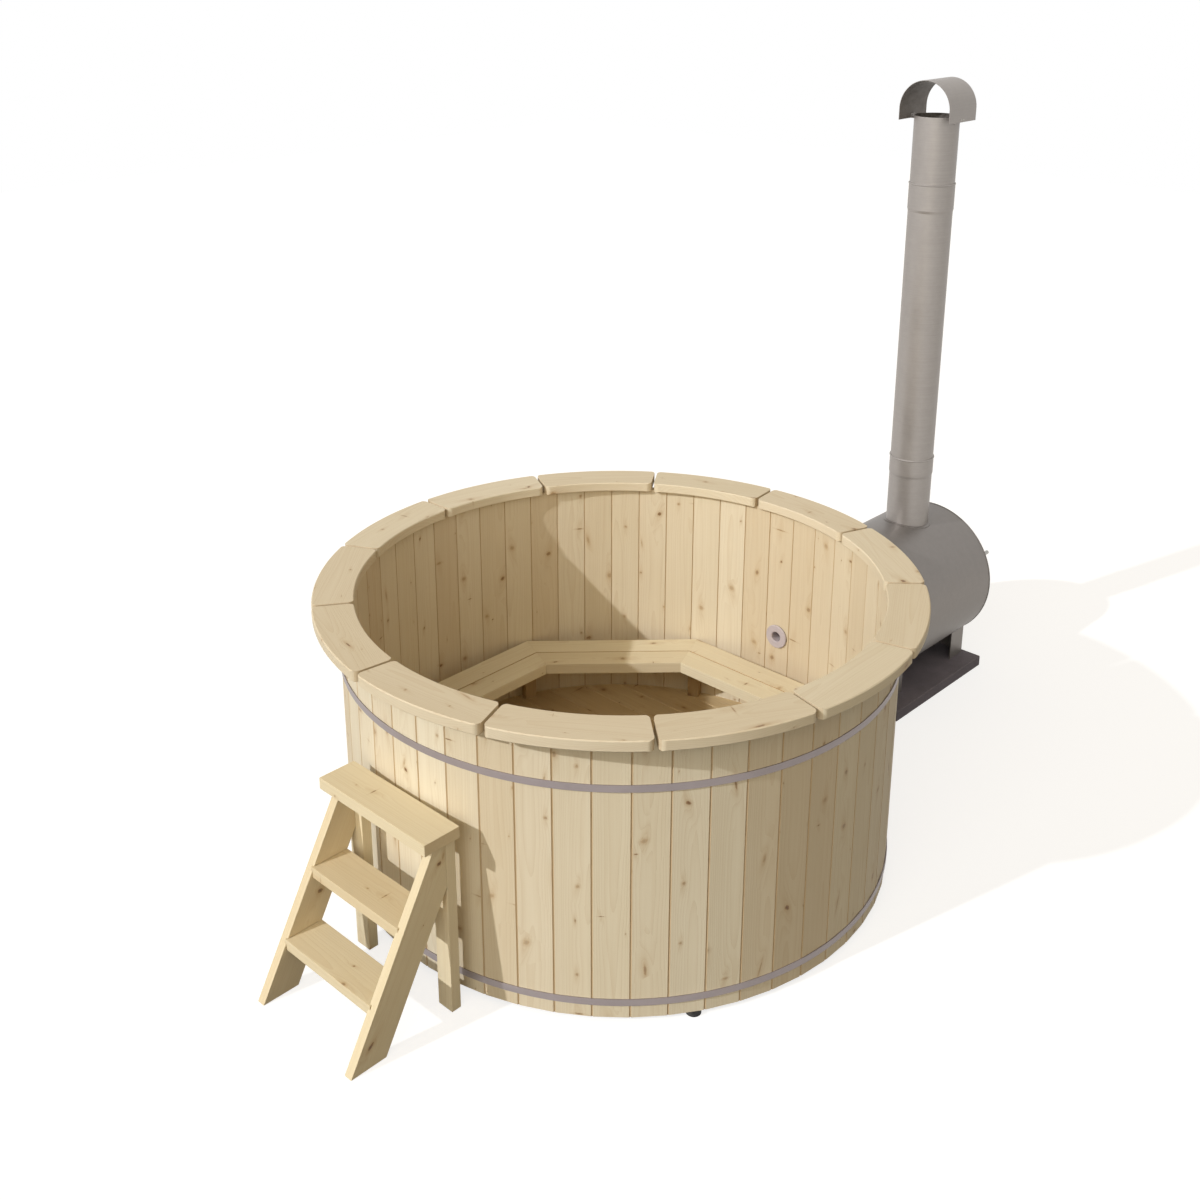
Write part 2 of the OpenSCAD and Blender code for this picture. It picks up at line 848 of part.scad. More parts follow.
module lower_nozzle() {
    color(plastic_grey) through_wall(0, lower_fitting_h) nozzle();
}

module drain_nozzle() {
    color(plastic_grey) through_wall(drain_index * stave_step, drain_h) nozzle();
}

// Repeats what is drawn at each of the three fittings
module at_fittings() {
    through_wall(0, upper_fitting_h) children();
    through_wall(0, lower_fitting_h) children();
    through_wall(drain_index * stave_step, drain_h) children();
}

// One gasket under the flange and one under the locknut of each fitting
module gaskets() {
    color(rubber_black) at_fittings() {
        translate([0, 0, -gasket_t]) ring(spigot_r + seat, flange_r - 1, gasket_t);
        translate([0, 0, stave_t]) ring(spigot_r + seat, washer_r, gasket_t);
    }
}

module locknuts() {
    color(plastic_grey) at_fittings()
        translate([0, 0, stave_t + gasket_t]) difference() {
            cylinder(r = locknut_r, h = locknut_t, $fn = locknut_sides);
            translate([0, 0, -past]) cylinder(r = spigot_r + pin_fit, h = locknut_t + 2 * past);
        }
}

// A straight hose from a spigot to the drum's stub at the height h
module hose(h) {
    translate([hose_start, 0, h]) along_x() ring(hose_r, hose_out_r, hose_end - hose_start);
}

module upper_hose() {
    color(rubber_black) hose(upper_fitting_h);
}

module lower_hose() {
    color(rubber_black) hose(lower_fitting_h);
}

// A band clamp with its screw housing, whose roof is round, and the screw's hexagon head
module hose_clamp() {
    screw_at = clamp_in_r + clamp_t + clamp_w / 2;
    ring(clamp_in_r, clamp_in_r + clamp_t, clamp_w);
    translate([-housing_l / 2, clamp_in_r + clamp_t / 2, 0])
        cube([housing_l, screw_at - clamp_in_r - clamp_t / 2, clamp_w]);
    translate([-housing_l / 2, screw_at, clamp_w / 2]) along_x()
        cylinder(r = clamp_w / 2, h = housing_l);
    translate([housing_l / 2 - past, screw_at, clamp_w / 2]) along_x()
        cylinder(r = clamp_w / 2 - past, h = clamp_head_t + past, $fn = 6);
}

module hose_clamps() {
    color(zinc)
        for (h = [upper_fitting_h, lower_fitting_h])
            for (x = [hose_start + clamp_in, hose_end - clamp_in - clamp_w])
                translate([x, 0, h]) along_x() hose_clamp();
}

// ---------- Drain valve ----------

// Places what is drawn with X outwards from the tub's centre and Z up, at the drain
module at_drain() {
    rotate(drain_index * stave_step) translate([0, 0, drain_h]) children();
}

module drain_valve() {
    color(zinc) at_drain() difference() {
        union() {
            translate([valve_start, 0, 0]) along_x()
                cylinder(r = socket_r, h = valve_socket_l, $fn = 8);
            translate([valve_start + valve_socket_l, 0, 0]) along_x()
                rod(valve_r, valve_l, valve_chamfer, valve_chamfer);
            translate([valve_tail_start, 0, 0]) along_x() cylinder(r = spigot_r, h = valve_tail_l);
            translate([valve_mid, 0, 0]) rod(bonnet_r, bonnet_h, 0, pin_head_out);
        }
        translate([valve_start - past, 0, 0]) along_x()
            cylinder(r = spigot_r + pin_fit, h = valve_socket_l);
        translate([valve_start, 0, 0]) along_x()
            cylinder(r = ball_bore_r, h = valve_end - valve_start + past);
        translate([valve_mid, 0, 0]) sphere(r = ball_r + seat);
        translate([valve_mid, 0, 0]) cylinder(r = stem_r + pin_fit, h = bonnet_h + past);
    }
}

// The ball with its stem, turned across the flow: the valve is closed
module drain_ball() {
    color(zinc) at_drain() translate([valve_mid, 0, 0]) difference() {
        union() {
            sphere(r = ball_r);
            cylinder(r = stem_r, h = stem_top);
        }
        rotate([90, 0, 0]) cylinder(r = ball_bore_r, h = 3 * ball_r, center = true);
    }
}

// A cranked flat lever: its side outline, cut to a plan with round ends
module drain_handle() {
    round_r = handle_w / 2;
    crank_end = round_r + 1.5 * handle_rise;
    color("firebrick") at_drain() translate([valve_mid, 0, bonnet_h + seat]) difference() {
        intersection() {
            translate([-round_r, 0, 0]) rotate([90, 0, 90]) linear_extrude(handle_w) polygon([
                [round_r, 0], [-round_r, 0], [-crank_end, handle_rise], [-handle_l, handle_rise],
                [-handle_l, handle_rise + handle_t], [-crank_end, handle_rise + handle_t],
                [-round_r, handle_t], [round_r, handle_t]
            ]);
            translate([0, 0, -past]) linear_extrude(handle_rise + handle_t + 2 * past) {
                circle(r = round_r);
                translate([-round_r, -handle_l + round_r]) square([handle_w, handle_l - round_r]);
                translate([0, -handle_l + round_r]) circle(r = round_r);
            }
        }
        translate([0, 0, -past]) cylinder(r = stem_r + pin_fit, h = handle_t + 2 * past);
    }
}

module handle_nut() {
    color(zinc) at_drain() translate([valve_mid, 0, bonnet_h + seat + handle_t]) difference() {
        cylinder(r = handle_nut_r, h = handle_nut_t, $fn = 6);
        translate([0, 0, -past]) cylinder(r = stem_r + pin_fit, h = handle_nut_t + 2 * past);
    }
}

// ---------- Stove ----------

// Places what is drawn along Z on the drum's axis, with its start at x
module on_drum(x) {
    translate([x, 0, drum_h]) along_x() children();
}

// A hole through the top of the drum and the firebox for the flue
module flue_hole() {
    translate([flue_x, 0, drum_h]) cylinder(r = flue_r + seat, h = drum_r + past);
}

module drum_shell() {
    color(stove_grey) difference() {
        on_drum(drum_start + drum_wall) ring(drum_r - drum_wall, drum_r, drum_len - 2 * drum_wall);
        flue_hole();
    }
}

// The end that faces the tub, with a stub for each hose
module drum_tub_end() {
    color(stove_grey) difference() {
        union() {
            on_drum(drum_start) cylinder(r = drum_r, h = drum_wall);
            for (h = [upper_fitting_h, lower_fitting_h])
                translate([drum_start - stub_out, 0, h]) along_x()
                    cylinder(r = spigot_r, h = stub_out + drum_wall / 2);
        }
        for (h = [upper_fitting_h, lower_fitting_h])
            translate([drum_start - stub_out - past, 0, h]) along_x()
                cylinder(r = spigot_bore_r, h = stub_out + drum_wall + 2 * past);
    }
}

module drum_door_end() {
    color(stove_grey) on_drum(drum_end - drum_wall) ring(firebox_out_r + seat, drum_r, drum_wall);
}

// The fire tube: closed towards the tub, and open at the door
module firebox() {
    color(stove_grey) difference() {
        on_drum(firebox_start) cylinder(r = firebox_out_r, h = mouth_end - firebox_start);
        on_drum(firebox_start + drum_wall) cylinder(r = firebox_r, h = mouth_end - firebox_start);
        flue_hole();
    }
}

module grate() {
    slot_pitch = 2 * (grate_half_w - grate_edge) / grate_slots;
    color("dimgray") difference() {
        board([grate_start, -grate_half_w, drum_h - grate_drop - grate_t],
            [grate_end, grate_half_w, drum_h - grate_drop]);
        for (i = [0:grate_slots - 1]) {
            y = (i - (grate_slots - 1) / 2) * slot_pitch;
            board([grate_start + grate_edge, y - grate_slot_w / 2, drum_h - grate_drop - grate_t - past],
                [grate_end - grate_edge, y + grate_slot_w / 2, drum_h - grate_drop + past]);
        }
    }
}

// A rectangle from Y out along X, with the two corners on Y rounded
module bent_plan(l, half_w, r) {
    translate([r, -half_w]) square([l - r, 2 * half_w]);
    translate([0, r - half_w]) square([2 * r, 2 * (half_w - r)]);
    for (side = [-1, 1])
        translate([r, side * (half_w - r)]) circle(r = r);
}

// A leg of bent sheet: a web across the drum with a side at each end. The web is at x, and
// way is 1 where the sides run towards the door and -1 where they run towards the tub.
module leg(x, way) {
    difference() {
        translate([x, 0, slab_t]) mirror([way < 0 ? 1 : 0, 0, 0]) linear_extrude(leg_room) difference() {
            bent_plan(leg_len, leg_half_w, leg_bend_r);
            translate([leg_t, 0]) bent_plan(leg_len, leg_half_w - leg_t, leg_bend_r - leg_t);
        }
        on_drum(x - leg_len - past) cylinder(r = drum_r + seat, h = 2 * (leg_len + past));
        translate([x - leg_len - past, -drum_r, drum_h]) cube([2 * (leg_len + past), 2 * drum_r, leg_room]);
    }
}

module front_leg() {
    color(stove_grey) leg(drum_start, 1);
}

module rear_leg() {
    color(stove_grey) leg(leg_rear_start + leg_len, -1);
}

// Concrete slab with a chamfered upper edge
module base_slab() {
    profile = [
        [-slab_half_w, 0], [slab_half_w, 0], [slab_half_w, slab_t - slab_chamfer],
        [slab_half_w - slab_chamfer, slab_t], [-slab_half_w + slab_chamfer, slab_t],
        [-slab_half_w, slab_t - slab_chamfer]
    ];
    color(slab_grey) translate([slab_start, 0, 0]) rotate([90, 0, 90])
        linear_extrude(slab_end - slab_start) polygon(profile);
}

// ---------- Stove door ----------

// Places what is drawn along Z on the hinge axis, with its start at the height h
module on_hinge(h) {
    translate([hinge_x, hinge_y, drum_h + h]) children();
}

// The two heights at which a door barrel starts. The bracket's barrel stands just below it.
hinge_heights = [-hinge_off, hinge_off];

module air_holes(x, h) {
    translate([x, 0, drum_h - vent_drop]) along_x()
        for (i = [0:vent_holes - 1])
            rotate((i + 0.5) * 360 / vent_holes) translate([vent_hole_at, 0, -past])
                cylinder(r = vent_hole_r, h = h + 2 * past);
}

module stove_door() {
    color(stove_grey) difference() {
        union() {
            on_drum(door_start) cylinder(r = door_r, h = door_t);
            for (h = hinge_heights) {
                on_hinge(h) cylinder(r = barrel_r, h = barrel_h);
                board([door_end, hinge_y - strap_l, drum_h + h],
                    [door_end + strap_t, hinge_y, drum_h + h + strap_h]);
                translate([door_end, hinge_y - strap_l, drum_h + h + strap_h / 2]) along_x()
                    cylinder(r = strap_h / 2, h = strap_t);
            }
            translate([door_end, -latch_at, drum_h]) along_x() cylinder(r = latch_w / 2, h = strap_t);
        }
        for (h = hinge_heights)
            on_hinge(h - past) cylinder(r = hinge_pin_r + pin_fit, h = barrel_h + 2 * past);
        air_holes(door_start, door_t);
        translate([door_start - past, 0, drum_h - vent_drop]) along_x()
            cylinder(r = rivet_r + pin_fit, h = door_t + 2 * past);
        translate([door_start - past, -latch_at, drum_h]) along_x()
            cylinder(r = rivet_r + pin_fit, h = door_t + strap_t + 2 * past);
    }
}

module door_rope() {
    color("ivory") on_drum(rope_start) ring(rope_mid_r - rope_w / 2, rope_mid_r + rope_w / 2, rope_t);
}

// A barrel below each door barrel, on a plate that is welded to the drum
module hinge_brackets() {
    color(stove_grey)
        for (h = hinge_heights)
            difference() {
                union() {
                    on_hinge(h - barrel_gap - barrel_h) cylinder(r = barrel_r, h = barrel_h);
                    board([drum_end, hinge_y - bracket_t / 2, drum_h + h - barrel_gap - barrel_h],
                        [hinge_x, hinge_y + bracket_t / 2, drum_h + h - barrel_gap]);
                }
                on_hinge(h - barrel_gap - barrel_h - past)
                    cylinder(r = hinge_pin_r + pin_fit, h = barrel_h + 2 * past);
            }
}

module hinge_pins() {
    color(zinc)
        for (h = hinge_heights)
            on_hinge(h - barrel_gap - barrel_h) {
                cylinder(r = hinge_pin_r, h = 2 * barrel_h + barrel_gap);
                translate([0, 0, -rivet_head_t])
                    rod(hinge_pin_r + pin_head_out, rivet_head_t, pin_head_out / 2, 0);
            }
}

// The turning disc that opens the air holes, with its knob
module vent_disc() {
    color("dimgray") {
        difference() {
            union() {
                translate([vent_start, 0, drum_h - vent_drop]) along_x() cylinder(r = vent_r, h = vent_t);
                translate([vent_end - past, 0, drum_h - vent_drop + vent_knob_at]) along_x()
                    rod(vent_knob_r, vent_knob_l, 0, knob_chamfer);
            }
            air_holes(vent_start, vent_t);
            translate([vent_start - past, 0, drum_h - vent_drop]) along_x()
                cylinder(r = rivet_r + pin_fit, h = vent_t + 2 * past);
        }
    }
}

// A rivet along X from the back of the door to the face at x, with a head at each end
module rivet(x) {
    translate([door_start - rivet_head_t, 0, 0]) along_x() cylinder(r = rivet_head_r, h = rivet_head_t);
    translate([door_start - past, 0, 0]) along_x() cylinder(r = rivet_r, h = x - door_start + seat + past);
    translate([x + seat, 0, 0]) along_x() cylinder(r = rivet_head_r, h = rivet_head_t);
}

module vent_rivet() {
    color(zinc) translate([0, 0, drum_h - vent_drop]) rivet(vent_end);
}

// The latch bar with its grip, lifted clear of the keeper
module door_latch() {
    color(stove_grey) translate([0, -latch_at, drum_h]) rotate([-latch_lift, 0, 0]) difference() {
        union() {
            translate([latch_start, 0, 0]) along_x() cylinder(r = latch_w / 2, h = latch_t);
            board([latch_start, -latch_l, -latch_w / 2], [latch_end, 0, latch_w / 2]);
            translate([latch_end - past, -grip_at, 0]) along_x()
                rod(grip_r, grip_l, 0, knob_chamfer);
        }
        translate([latch_start - past, 0, 0]) along_x()
            cylinder(r = rivet_r + pin_fit, h = latch_t + 2 * past);
    }
}

module latch_rivet() {
    color(zinc) translate([0, -latch_at, drum_h]) rivet(latch_end);
}

// A hook welded to the drum. The latch bar drops into it from above.
module latch_keeper() {
    low = drum_h - latch_w / 2 - seat;
    color(stove_grey) {
        board([drum_end, -keeper_out, low - keeper_t], [latch_end + seat + keeper_t, -keeper_in, low]);
        board([latch_end + seat, -keeper_out, low - keeper_t],
            [latch_end + seat + keeper_t, -keeper_in, drum_h]);
    }
}

// ---------- Chimney ----------

// A pipe from a plain lower end to a wider socket at its upper end
module socket_pipe(bottom, top, socket_l) {
    neck = top - socket_l - socket_taper;
    translate([flue_x, 0, 0]) rotate_extrude() polygon([
        [flue_in_r, bottom], [flue_r, bottom], [flue_r, neck],
        [socket_out_r, neck + socket_taper],
        [socket_out_r, top - 3 * socket_bead],
        [socket_out_r + socket_bead, top - 2 * socket_bead],
        [socket_out_r + socket_bead, top - socket_bead],
        [socket_out_r, top],
        [socket_in_r, top], [socket_in_r, neck + socket_taper], [flue_in_r, neck]
    ]);
}

module flue_adapter() {
    color(pipe_grey) socket_pipe(flue_bottom, socket_lower_h, socket_lower_l);
}

// A ring that is bent to the drum and welded round the flue
module flue_collar() {
    color(stove_grey) intersection() {
        on_drum(drum_start) ring(drum_r, drum_r + collar_t, drum_len);
        translate([flue_x, 0, drum_h]) ring(flue_r + seat, flue_r + collar_w, drum_r + 2 * collar_t);
    }
}

module chimney_pipe() {
    color(pipe_grey) socket_pipe(socket_lower_h - socket_lower_l, socket_upper_h, socket_upper_l);
}

module chimney_top() {
    color(pipe_grey) translate([flue_x, 0, socket_upper_h - socket_upper_l])
        ring(flue_in_r, flue_r, flue_top_h - socket_upper_h + socket_upper_l);
}

// An arched sheet over the mouth of the pipe, open at both ends
module hood_arch(r) {
    intersection() {
        translate([0, hood_mid]) circle(r = r);
        translate([-r, hood_mid]) square([2 * r, r]);
    }
    translate([-r, hood_bottom - past]) square([2 * r, hood_side + past]);
}

module chimney_hood() {
    color(pipe_grey) translate([flue_x - hood_l / 2, 0, 0]) rotate([90, 0, 90])
        linear_extrude(hood_l) difference() {
            hood_arch(hood_r + hood_t);
            hood_arch(hood_r);
            translate([-2 * hood_r, hood_bottom - 2 * past]) square([4 * hood_r, 2 * past]);
        }
}

// Two bent straps that carry the hood on the sides of the pipe
module hood_brackets() {
    low = flue_top_h - bracket_h;
    color(pipe_grey)
        for (side = [0, 1])
            mirror([0, side, 0]) difference() {
                translate([flue_x - bracket_w / 2, 0, 0]) {
                    board([0, flue_r - flue_wall, hood_bottom],
                        [bracket_w, hood_r - seat, hood_bottom + hood_t]);
                    board([0, flue_r - flue_wall, low], [bracket_w, flue_r + 2 * hood_t, flue_top_h]);
                    board([0, hood_r - seat - hood_t, hood_bottom], [bracket_w, hood_r - seat, flue_top_h]);
                }
                translate([flue_x, 0, low - past]) cylinder(r = flue_r + seat, h = bracket_h + 2 * past);
            }
}

// ---------- Ladder ----------

// A tread from one stringer's housing to the other's, grown by g for the housing's play
module tread(h, g) {
    x = stringer_front(h) - tread_nose;
    board([x - g, ladder_low + stringer_t - housing + seat - g, h - tread_t - g],
        [x + tread_d + g, ladder_high - stringer_t + housing - seat + g, h + g]);
}

// A sloping side from y, cut upright where it meets the post, with a housing for each tread
module stringer(y) {
    difference() {
        translate([0, y + stringer_t, 0]) rotate([90, 0, 0]) linear_extrude(stringer_t) polygon([
            [stringer_foot_x, 0],
            [stringer_foot_x + stringer_w, 0],
            [post_front_x, heel_h],
            [post_front_x, top_bottom],
            [stringer_top_x, top_bottom]
        ]);
        tread(tread_lower_h, groove_play);
        tread(tread_upper_h, groove_play);
    }
}

module left_stringer() {
    color(spruce) stringer(ladder_high - stringer_t);
}

module right_stringer() {
    color(spruce) stringer(ladder_low);
}

// An upright post from y, behind the stringers
module post(y) {
    board([post_front_x, y, 0], [post_back_x, y + post_w, top_bottom]);
}

module left_post() {
    color(spruce) post(ladder_high - post_w);
}

module right_post() {
    color(spruce) post(ladder_low);
}

module lower_tread() {
    color(spruce) tread(tread_lower_h, 0);
}

module upper_tread() {
    color(spruce) tread(tread_upper_h, 0);
}

module ladder_top() {
    color(spruce) board(
        [stringer_top_x - top_front, ladder_low - top_side, top_bottom],
        [post_back_x + top_back, ladder_high + top_side, ladder_h]);
}

staves();
stove_stave();
drain_stave();
floor_boards();
floor_bearers();
support_pads();
upper_hoop();
lower_hoop();
hoop_bolts();
rim_boards();
bench_outer_boards();
bench_inner_boards();
bench_bearers();
bench_posts();
bench_cleats();
upper_nozzle();
lower_nozzle();
drain_nozzle();
gaskets();
locknuts();
upper_hose();
lower_hose();
hose_clamps();
drain_valve();
drain_ball();
drain_handle();
handle_nut();
drum_shell();
drum_tub_end();
drum_door_end();
firebox();
grate();
front_leg();
rear_leg();
base_slab();
stove_door();
door_rope();
hinge_brackets();
hinge_pins();
vent_disc();
vent_rivet();
door_latch();
latch_rivet();
latch_keeper();
flue_adapter();
flue_collar();
chimney_pipe();
chimney_top();
chimney_hood();
hood_brackets();
left_stringer();
right_stringer();
left_post();
right_post();
lower_tread();
upper_tread();
ladder_top();
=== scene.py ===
import math
import random

import bmesh
import bpy
from mathutils import Matrix, Vector


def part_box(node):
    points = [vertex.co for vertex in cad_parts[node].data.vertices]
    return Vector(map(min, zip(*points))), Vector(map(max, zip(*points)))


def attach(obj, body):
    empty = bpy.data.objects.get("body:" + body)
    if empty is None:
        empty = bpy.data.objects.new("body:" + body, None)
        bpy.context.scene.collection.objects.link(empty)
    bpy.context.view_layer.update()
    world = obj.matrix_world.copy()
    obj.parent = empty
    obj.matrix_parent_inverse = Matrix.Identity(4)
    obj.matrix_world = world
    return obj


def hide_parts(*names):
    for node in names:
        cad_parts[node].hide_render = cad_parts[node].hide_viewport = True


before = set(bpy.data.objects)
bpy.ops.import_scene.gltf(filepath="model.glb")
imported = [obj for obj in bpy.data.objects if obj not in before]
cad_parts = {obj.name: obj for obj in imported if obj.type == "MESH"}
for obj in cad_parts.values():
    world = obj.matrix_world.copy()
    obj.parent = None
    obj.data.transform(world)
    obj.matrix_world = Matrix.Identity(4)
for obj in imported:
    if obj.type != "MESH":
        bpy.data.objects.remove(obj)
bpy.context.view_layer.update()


# ---------- Studio ----------
# A pale floor in an open, evenly lit room. One low lamp, as far off as the sun, shines from
# beyond the ladder and gives the sharp shadows inside the tub. The room and a wide soft lamp
# near the camera fill them.

class Shade:
    """One output of a shader node. Arithmetic on it adds Math nodes to its tree."""

    def __init__(self, tree, output=None):
        self.tree = tree
        self.output = output

    def node(self, kind, settings, sockets, output=0):
        """Adds a node from its type, its settings and the values or links of its sockets."""
        made = self.tree.nodes.new("ShaderNode" + kind)
        for name, setting in settings.items():
            setattr(made, name, setting)
        for name, value in sockets.items():
            if isinstance(value, Shade):
                self.tree.links.new(value.output, made.inputs[name])
            else:
                made.inputs[name].default_value = value
        return Shade(self.tree, made.outputs[output])

    def beside(self, output):
        """Another output of the same node."""
        return Shade(self.tree, self.output.node.outputs[output])

    def math(self, operation, *values):
        return self.node("Math", {"operation": operation}, dict(enumerate(values)))

    def vector(self, operation, *values, output=0):
        return self.node("VectorMath", {"operation": operation}, dict(enumerate(values)), output)

    def __add__(self, value):
        return self.math("ADD", self, value)

    def __radd__(self, value):
        return self.math("ADD", value, self)

    def __sub__(self, value):
        return self.math("SUBTRACT", self, value)

    def __rsub__(self, value):
        return self.math("SUBTRACT", value, self)

    def __mul__(self, value):
        return self.math("MULTIPLY", self, value)

    def __rmul__(self, value):
        return self.math("MULTIPLY", value, self)

    def __truediv__(self, value):
        return self.math("DIVIDE", self, value)

    def __rtruediv__(self, value):
        return self.math("DIVIDE", value, self)

    def __pow__(self, value):
        return self.math("POWER", self, value)

    def fade(self, start, end):
        """0 where the value is at start, 1 where it is at end, and smooth between them."""
        return self.node("MapRange", {"interpolation_type": "SMOOTHSTEP"},
                         {"Value": self, "From Min": start, "From Max": end})

    def mix(self, colour_at_0, colour_at_1):
        return self.node("Mix", {"data_type": "RGBA"}, {0: self, 6: colour_at_0, 7: colour_at_1}, 2)


def paint(red, green, blue):
    """A colour as it is seen, from 0 to 255, in the linear values that a shader takes."""
    seen = [channel / 255 for channel in (red, green, blue)]
    return (*[c / 12.92 if c < 0.04045 else ((c + 0.055) / 1.055) ** 2.4 for c in seen], 1)


def room_behind(tree, lit, seen):
    """Shows seen to the camera and in reflections, and lets lit light the object."""
    path = tree.node("LightPath", {}, {}, "Is Camera Ray")
    shown = path + path.beside("Is Glossy Ray") + path.beside("Is Transmission Ray")
    return tree.node("MixShader", {}, {0: shown.math("MINIMUM", shown, 1), 1: lit, 2: seen})


fill_strength = 0.42
floor_size = 14
floor_bounce = 0.05
floor_shadow = 0.38
floor_white = 1.14

world = bpy.data.worlds.new("room")
bpy.context.scene.world = world
world.use_nodes = True
world.node_tree.nodes.clear()
sky = Shade(world.node_tree)
fill = sky.node("Background", {}, {"Color": paint(255, 235, 202), "Strength": fill_strength})
backdrop = sky.node("Background", {}, {"Color": (1, 1, 1, 1), "Strength": 1})
world_out = world.node_tree.nodes.new("ShaderNodeOutputWorld")
world.node_tree.links.new(room_behind(sky, fill, backdrop).output, world_out.inputs["Surface"])

floor_form = bmesh.new()
bmesh.ops.create_grid(floor_form, x_segments=1, y_segments=1, size=floor_size)
floor_mesh = bpy.data.meshes.new("studio_floor")
floor_form.to_mesh(floor_mesh)
floor_form.free()
studio_floor = bpy.data.objects.new("studio_floor", floor_mesh)
bpy.context.scene.collection.objects.link(studio_floor)
floor_material = bpy.data.materials.new("studio_floor")
floor_material.use_nodes = True
floor_material.node_tree.nodes.clear()
ground = Shade(floor_material.node_tree)
bounce = ground.node("BsdfDiffuse", {}, {"Color": (floor_bounce, floor_bounce, floor_bounce, 1)})
shadowed = ground.node("BsdfDiffuse", {}, {"Color": (floor_shadow, floor_shadow, floor_shadow, 1)})
glow = ground.node("Emission", {}, {"Color": (1, 1, 1, 1), "Strength": floor_white - floor_shadow})
shown_floor = ground.node("AddShader", {}, {0: shadowed, 1: glow})
floor_out = floor_material.node_tree.nodes.new("ShaderNodeOutputMaterial")
floor_material.node_tree.links.new(room_behind(ground, bounce, shown_floor).output,
                                   floor_out.inputs["Surface"])
floor_mesh.materials.append(floor_material)


def distant_lamp(name, travel, height, spread, energy, colour):
    """A lamp without end to its distance. Its light travels along an angle on the floor."""
    travel, height = math.radians(travel), math.radians(height)
    lamp = bpy.data.lights.new(name, "SUN")
    lamp.energy = energy
    lamp.angle = math.radians(spread)
    lamp.color = colour
    ray = Vector((math.cos(travel) * math.cos(height), math.sin(travel) * math.cos(height),
                  -math.sin(height)))
    placed = bpy.data.objects.new(name, lamp)
    placed.rotation_euler = ray.to_track_quat("-Z", "Y").to_euler()
    bpy.context.scene.collection.objects.link(placed)


distant_lamp("low_sun", travel=-14.5, height=31.5, spread=0.9, energy=2.12, colour=(0.97, 0.98, 1))
distant_lamp("front_light", travel=22, height=25, spread=50, energy=1.12, colour=(1, 0.95, 0.83))

# The camera looks towards the stove, from in front of the tub, and down by camera_fall degrees.
camera_place = (-3.085, -2.857, 2.942)
camera_heading, camera_fall = 43.69, 18.85
lens = bpy.data.cameras.new("photo_camera")
lens.lens = 42.88
lens.sensor_width = 36
lens.shift_y = -0.15
photo_camera = bpy.data.objects.new("photo_camera", lens)
photo_camera.location = camera_place
photo_camera.rotation_euler = (math.radians(90 - camera_fall), 0, math.radians(camera_heading - 90))
bpy.context.scene.collection.objects.link(photo_camera)
bpy.context.scene.camera = photo_camera
bpy.context.scene.view_settings.view_transform = "Standard"


# ---------- Staves ----------
# Fifty-two planed spruce staves, each with a bead, a cove and a chamfered seam, stand in a
# ring. The grain runs up each stave, with small knots, and no two staves have the same tone.

class Finish(Shade):
    """A material under way, with a Principled shader whose fixed values are set at once."""

    def __init__(self, name, fixed):
        self.material = bpy.data.materials.new(name)
        self.material.use_nodes = True
        super().__init__(self.material.node_tree)
        self.shader = self.tree.nodes["Principled BSDF"]
        for socket, value in fixed.items():
            self.shader.inputs[socket].default_value = value

    def feed(self, socket, shade):
        self.tree.links.new(shade.output, self.shader.inputs[socket])

    def relief(self, height, depth):
        """Raises the surface by height, which runs from 0 to 1, times a depth in metres."""
        self.feed("Normal", self.node("Bump", {}, {"Height": height, "Distance": depth}, "Normal"))

    def noise(self, place, scale, detail=2.0, roughness=0.5):
        return self.node("TexNoise", {}, {"Vector": place, "Scale": scale, "Detail": detail,
                                          "Roughness": roughness})

    def stretch(self, place, factors):
        return self.vector("MULTIPLY", place, factors)


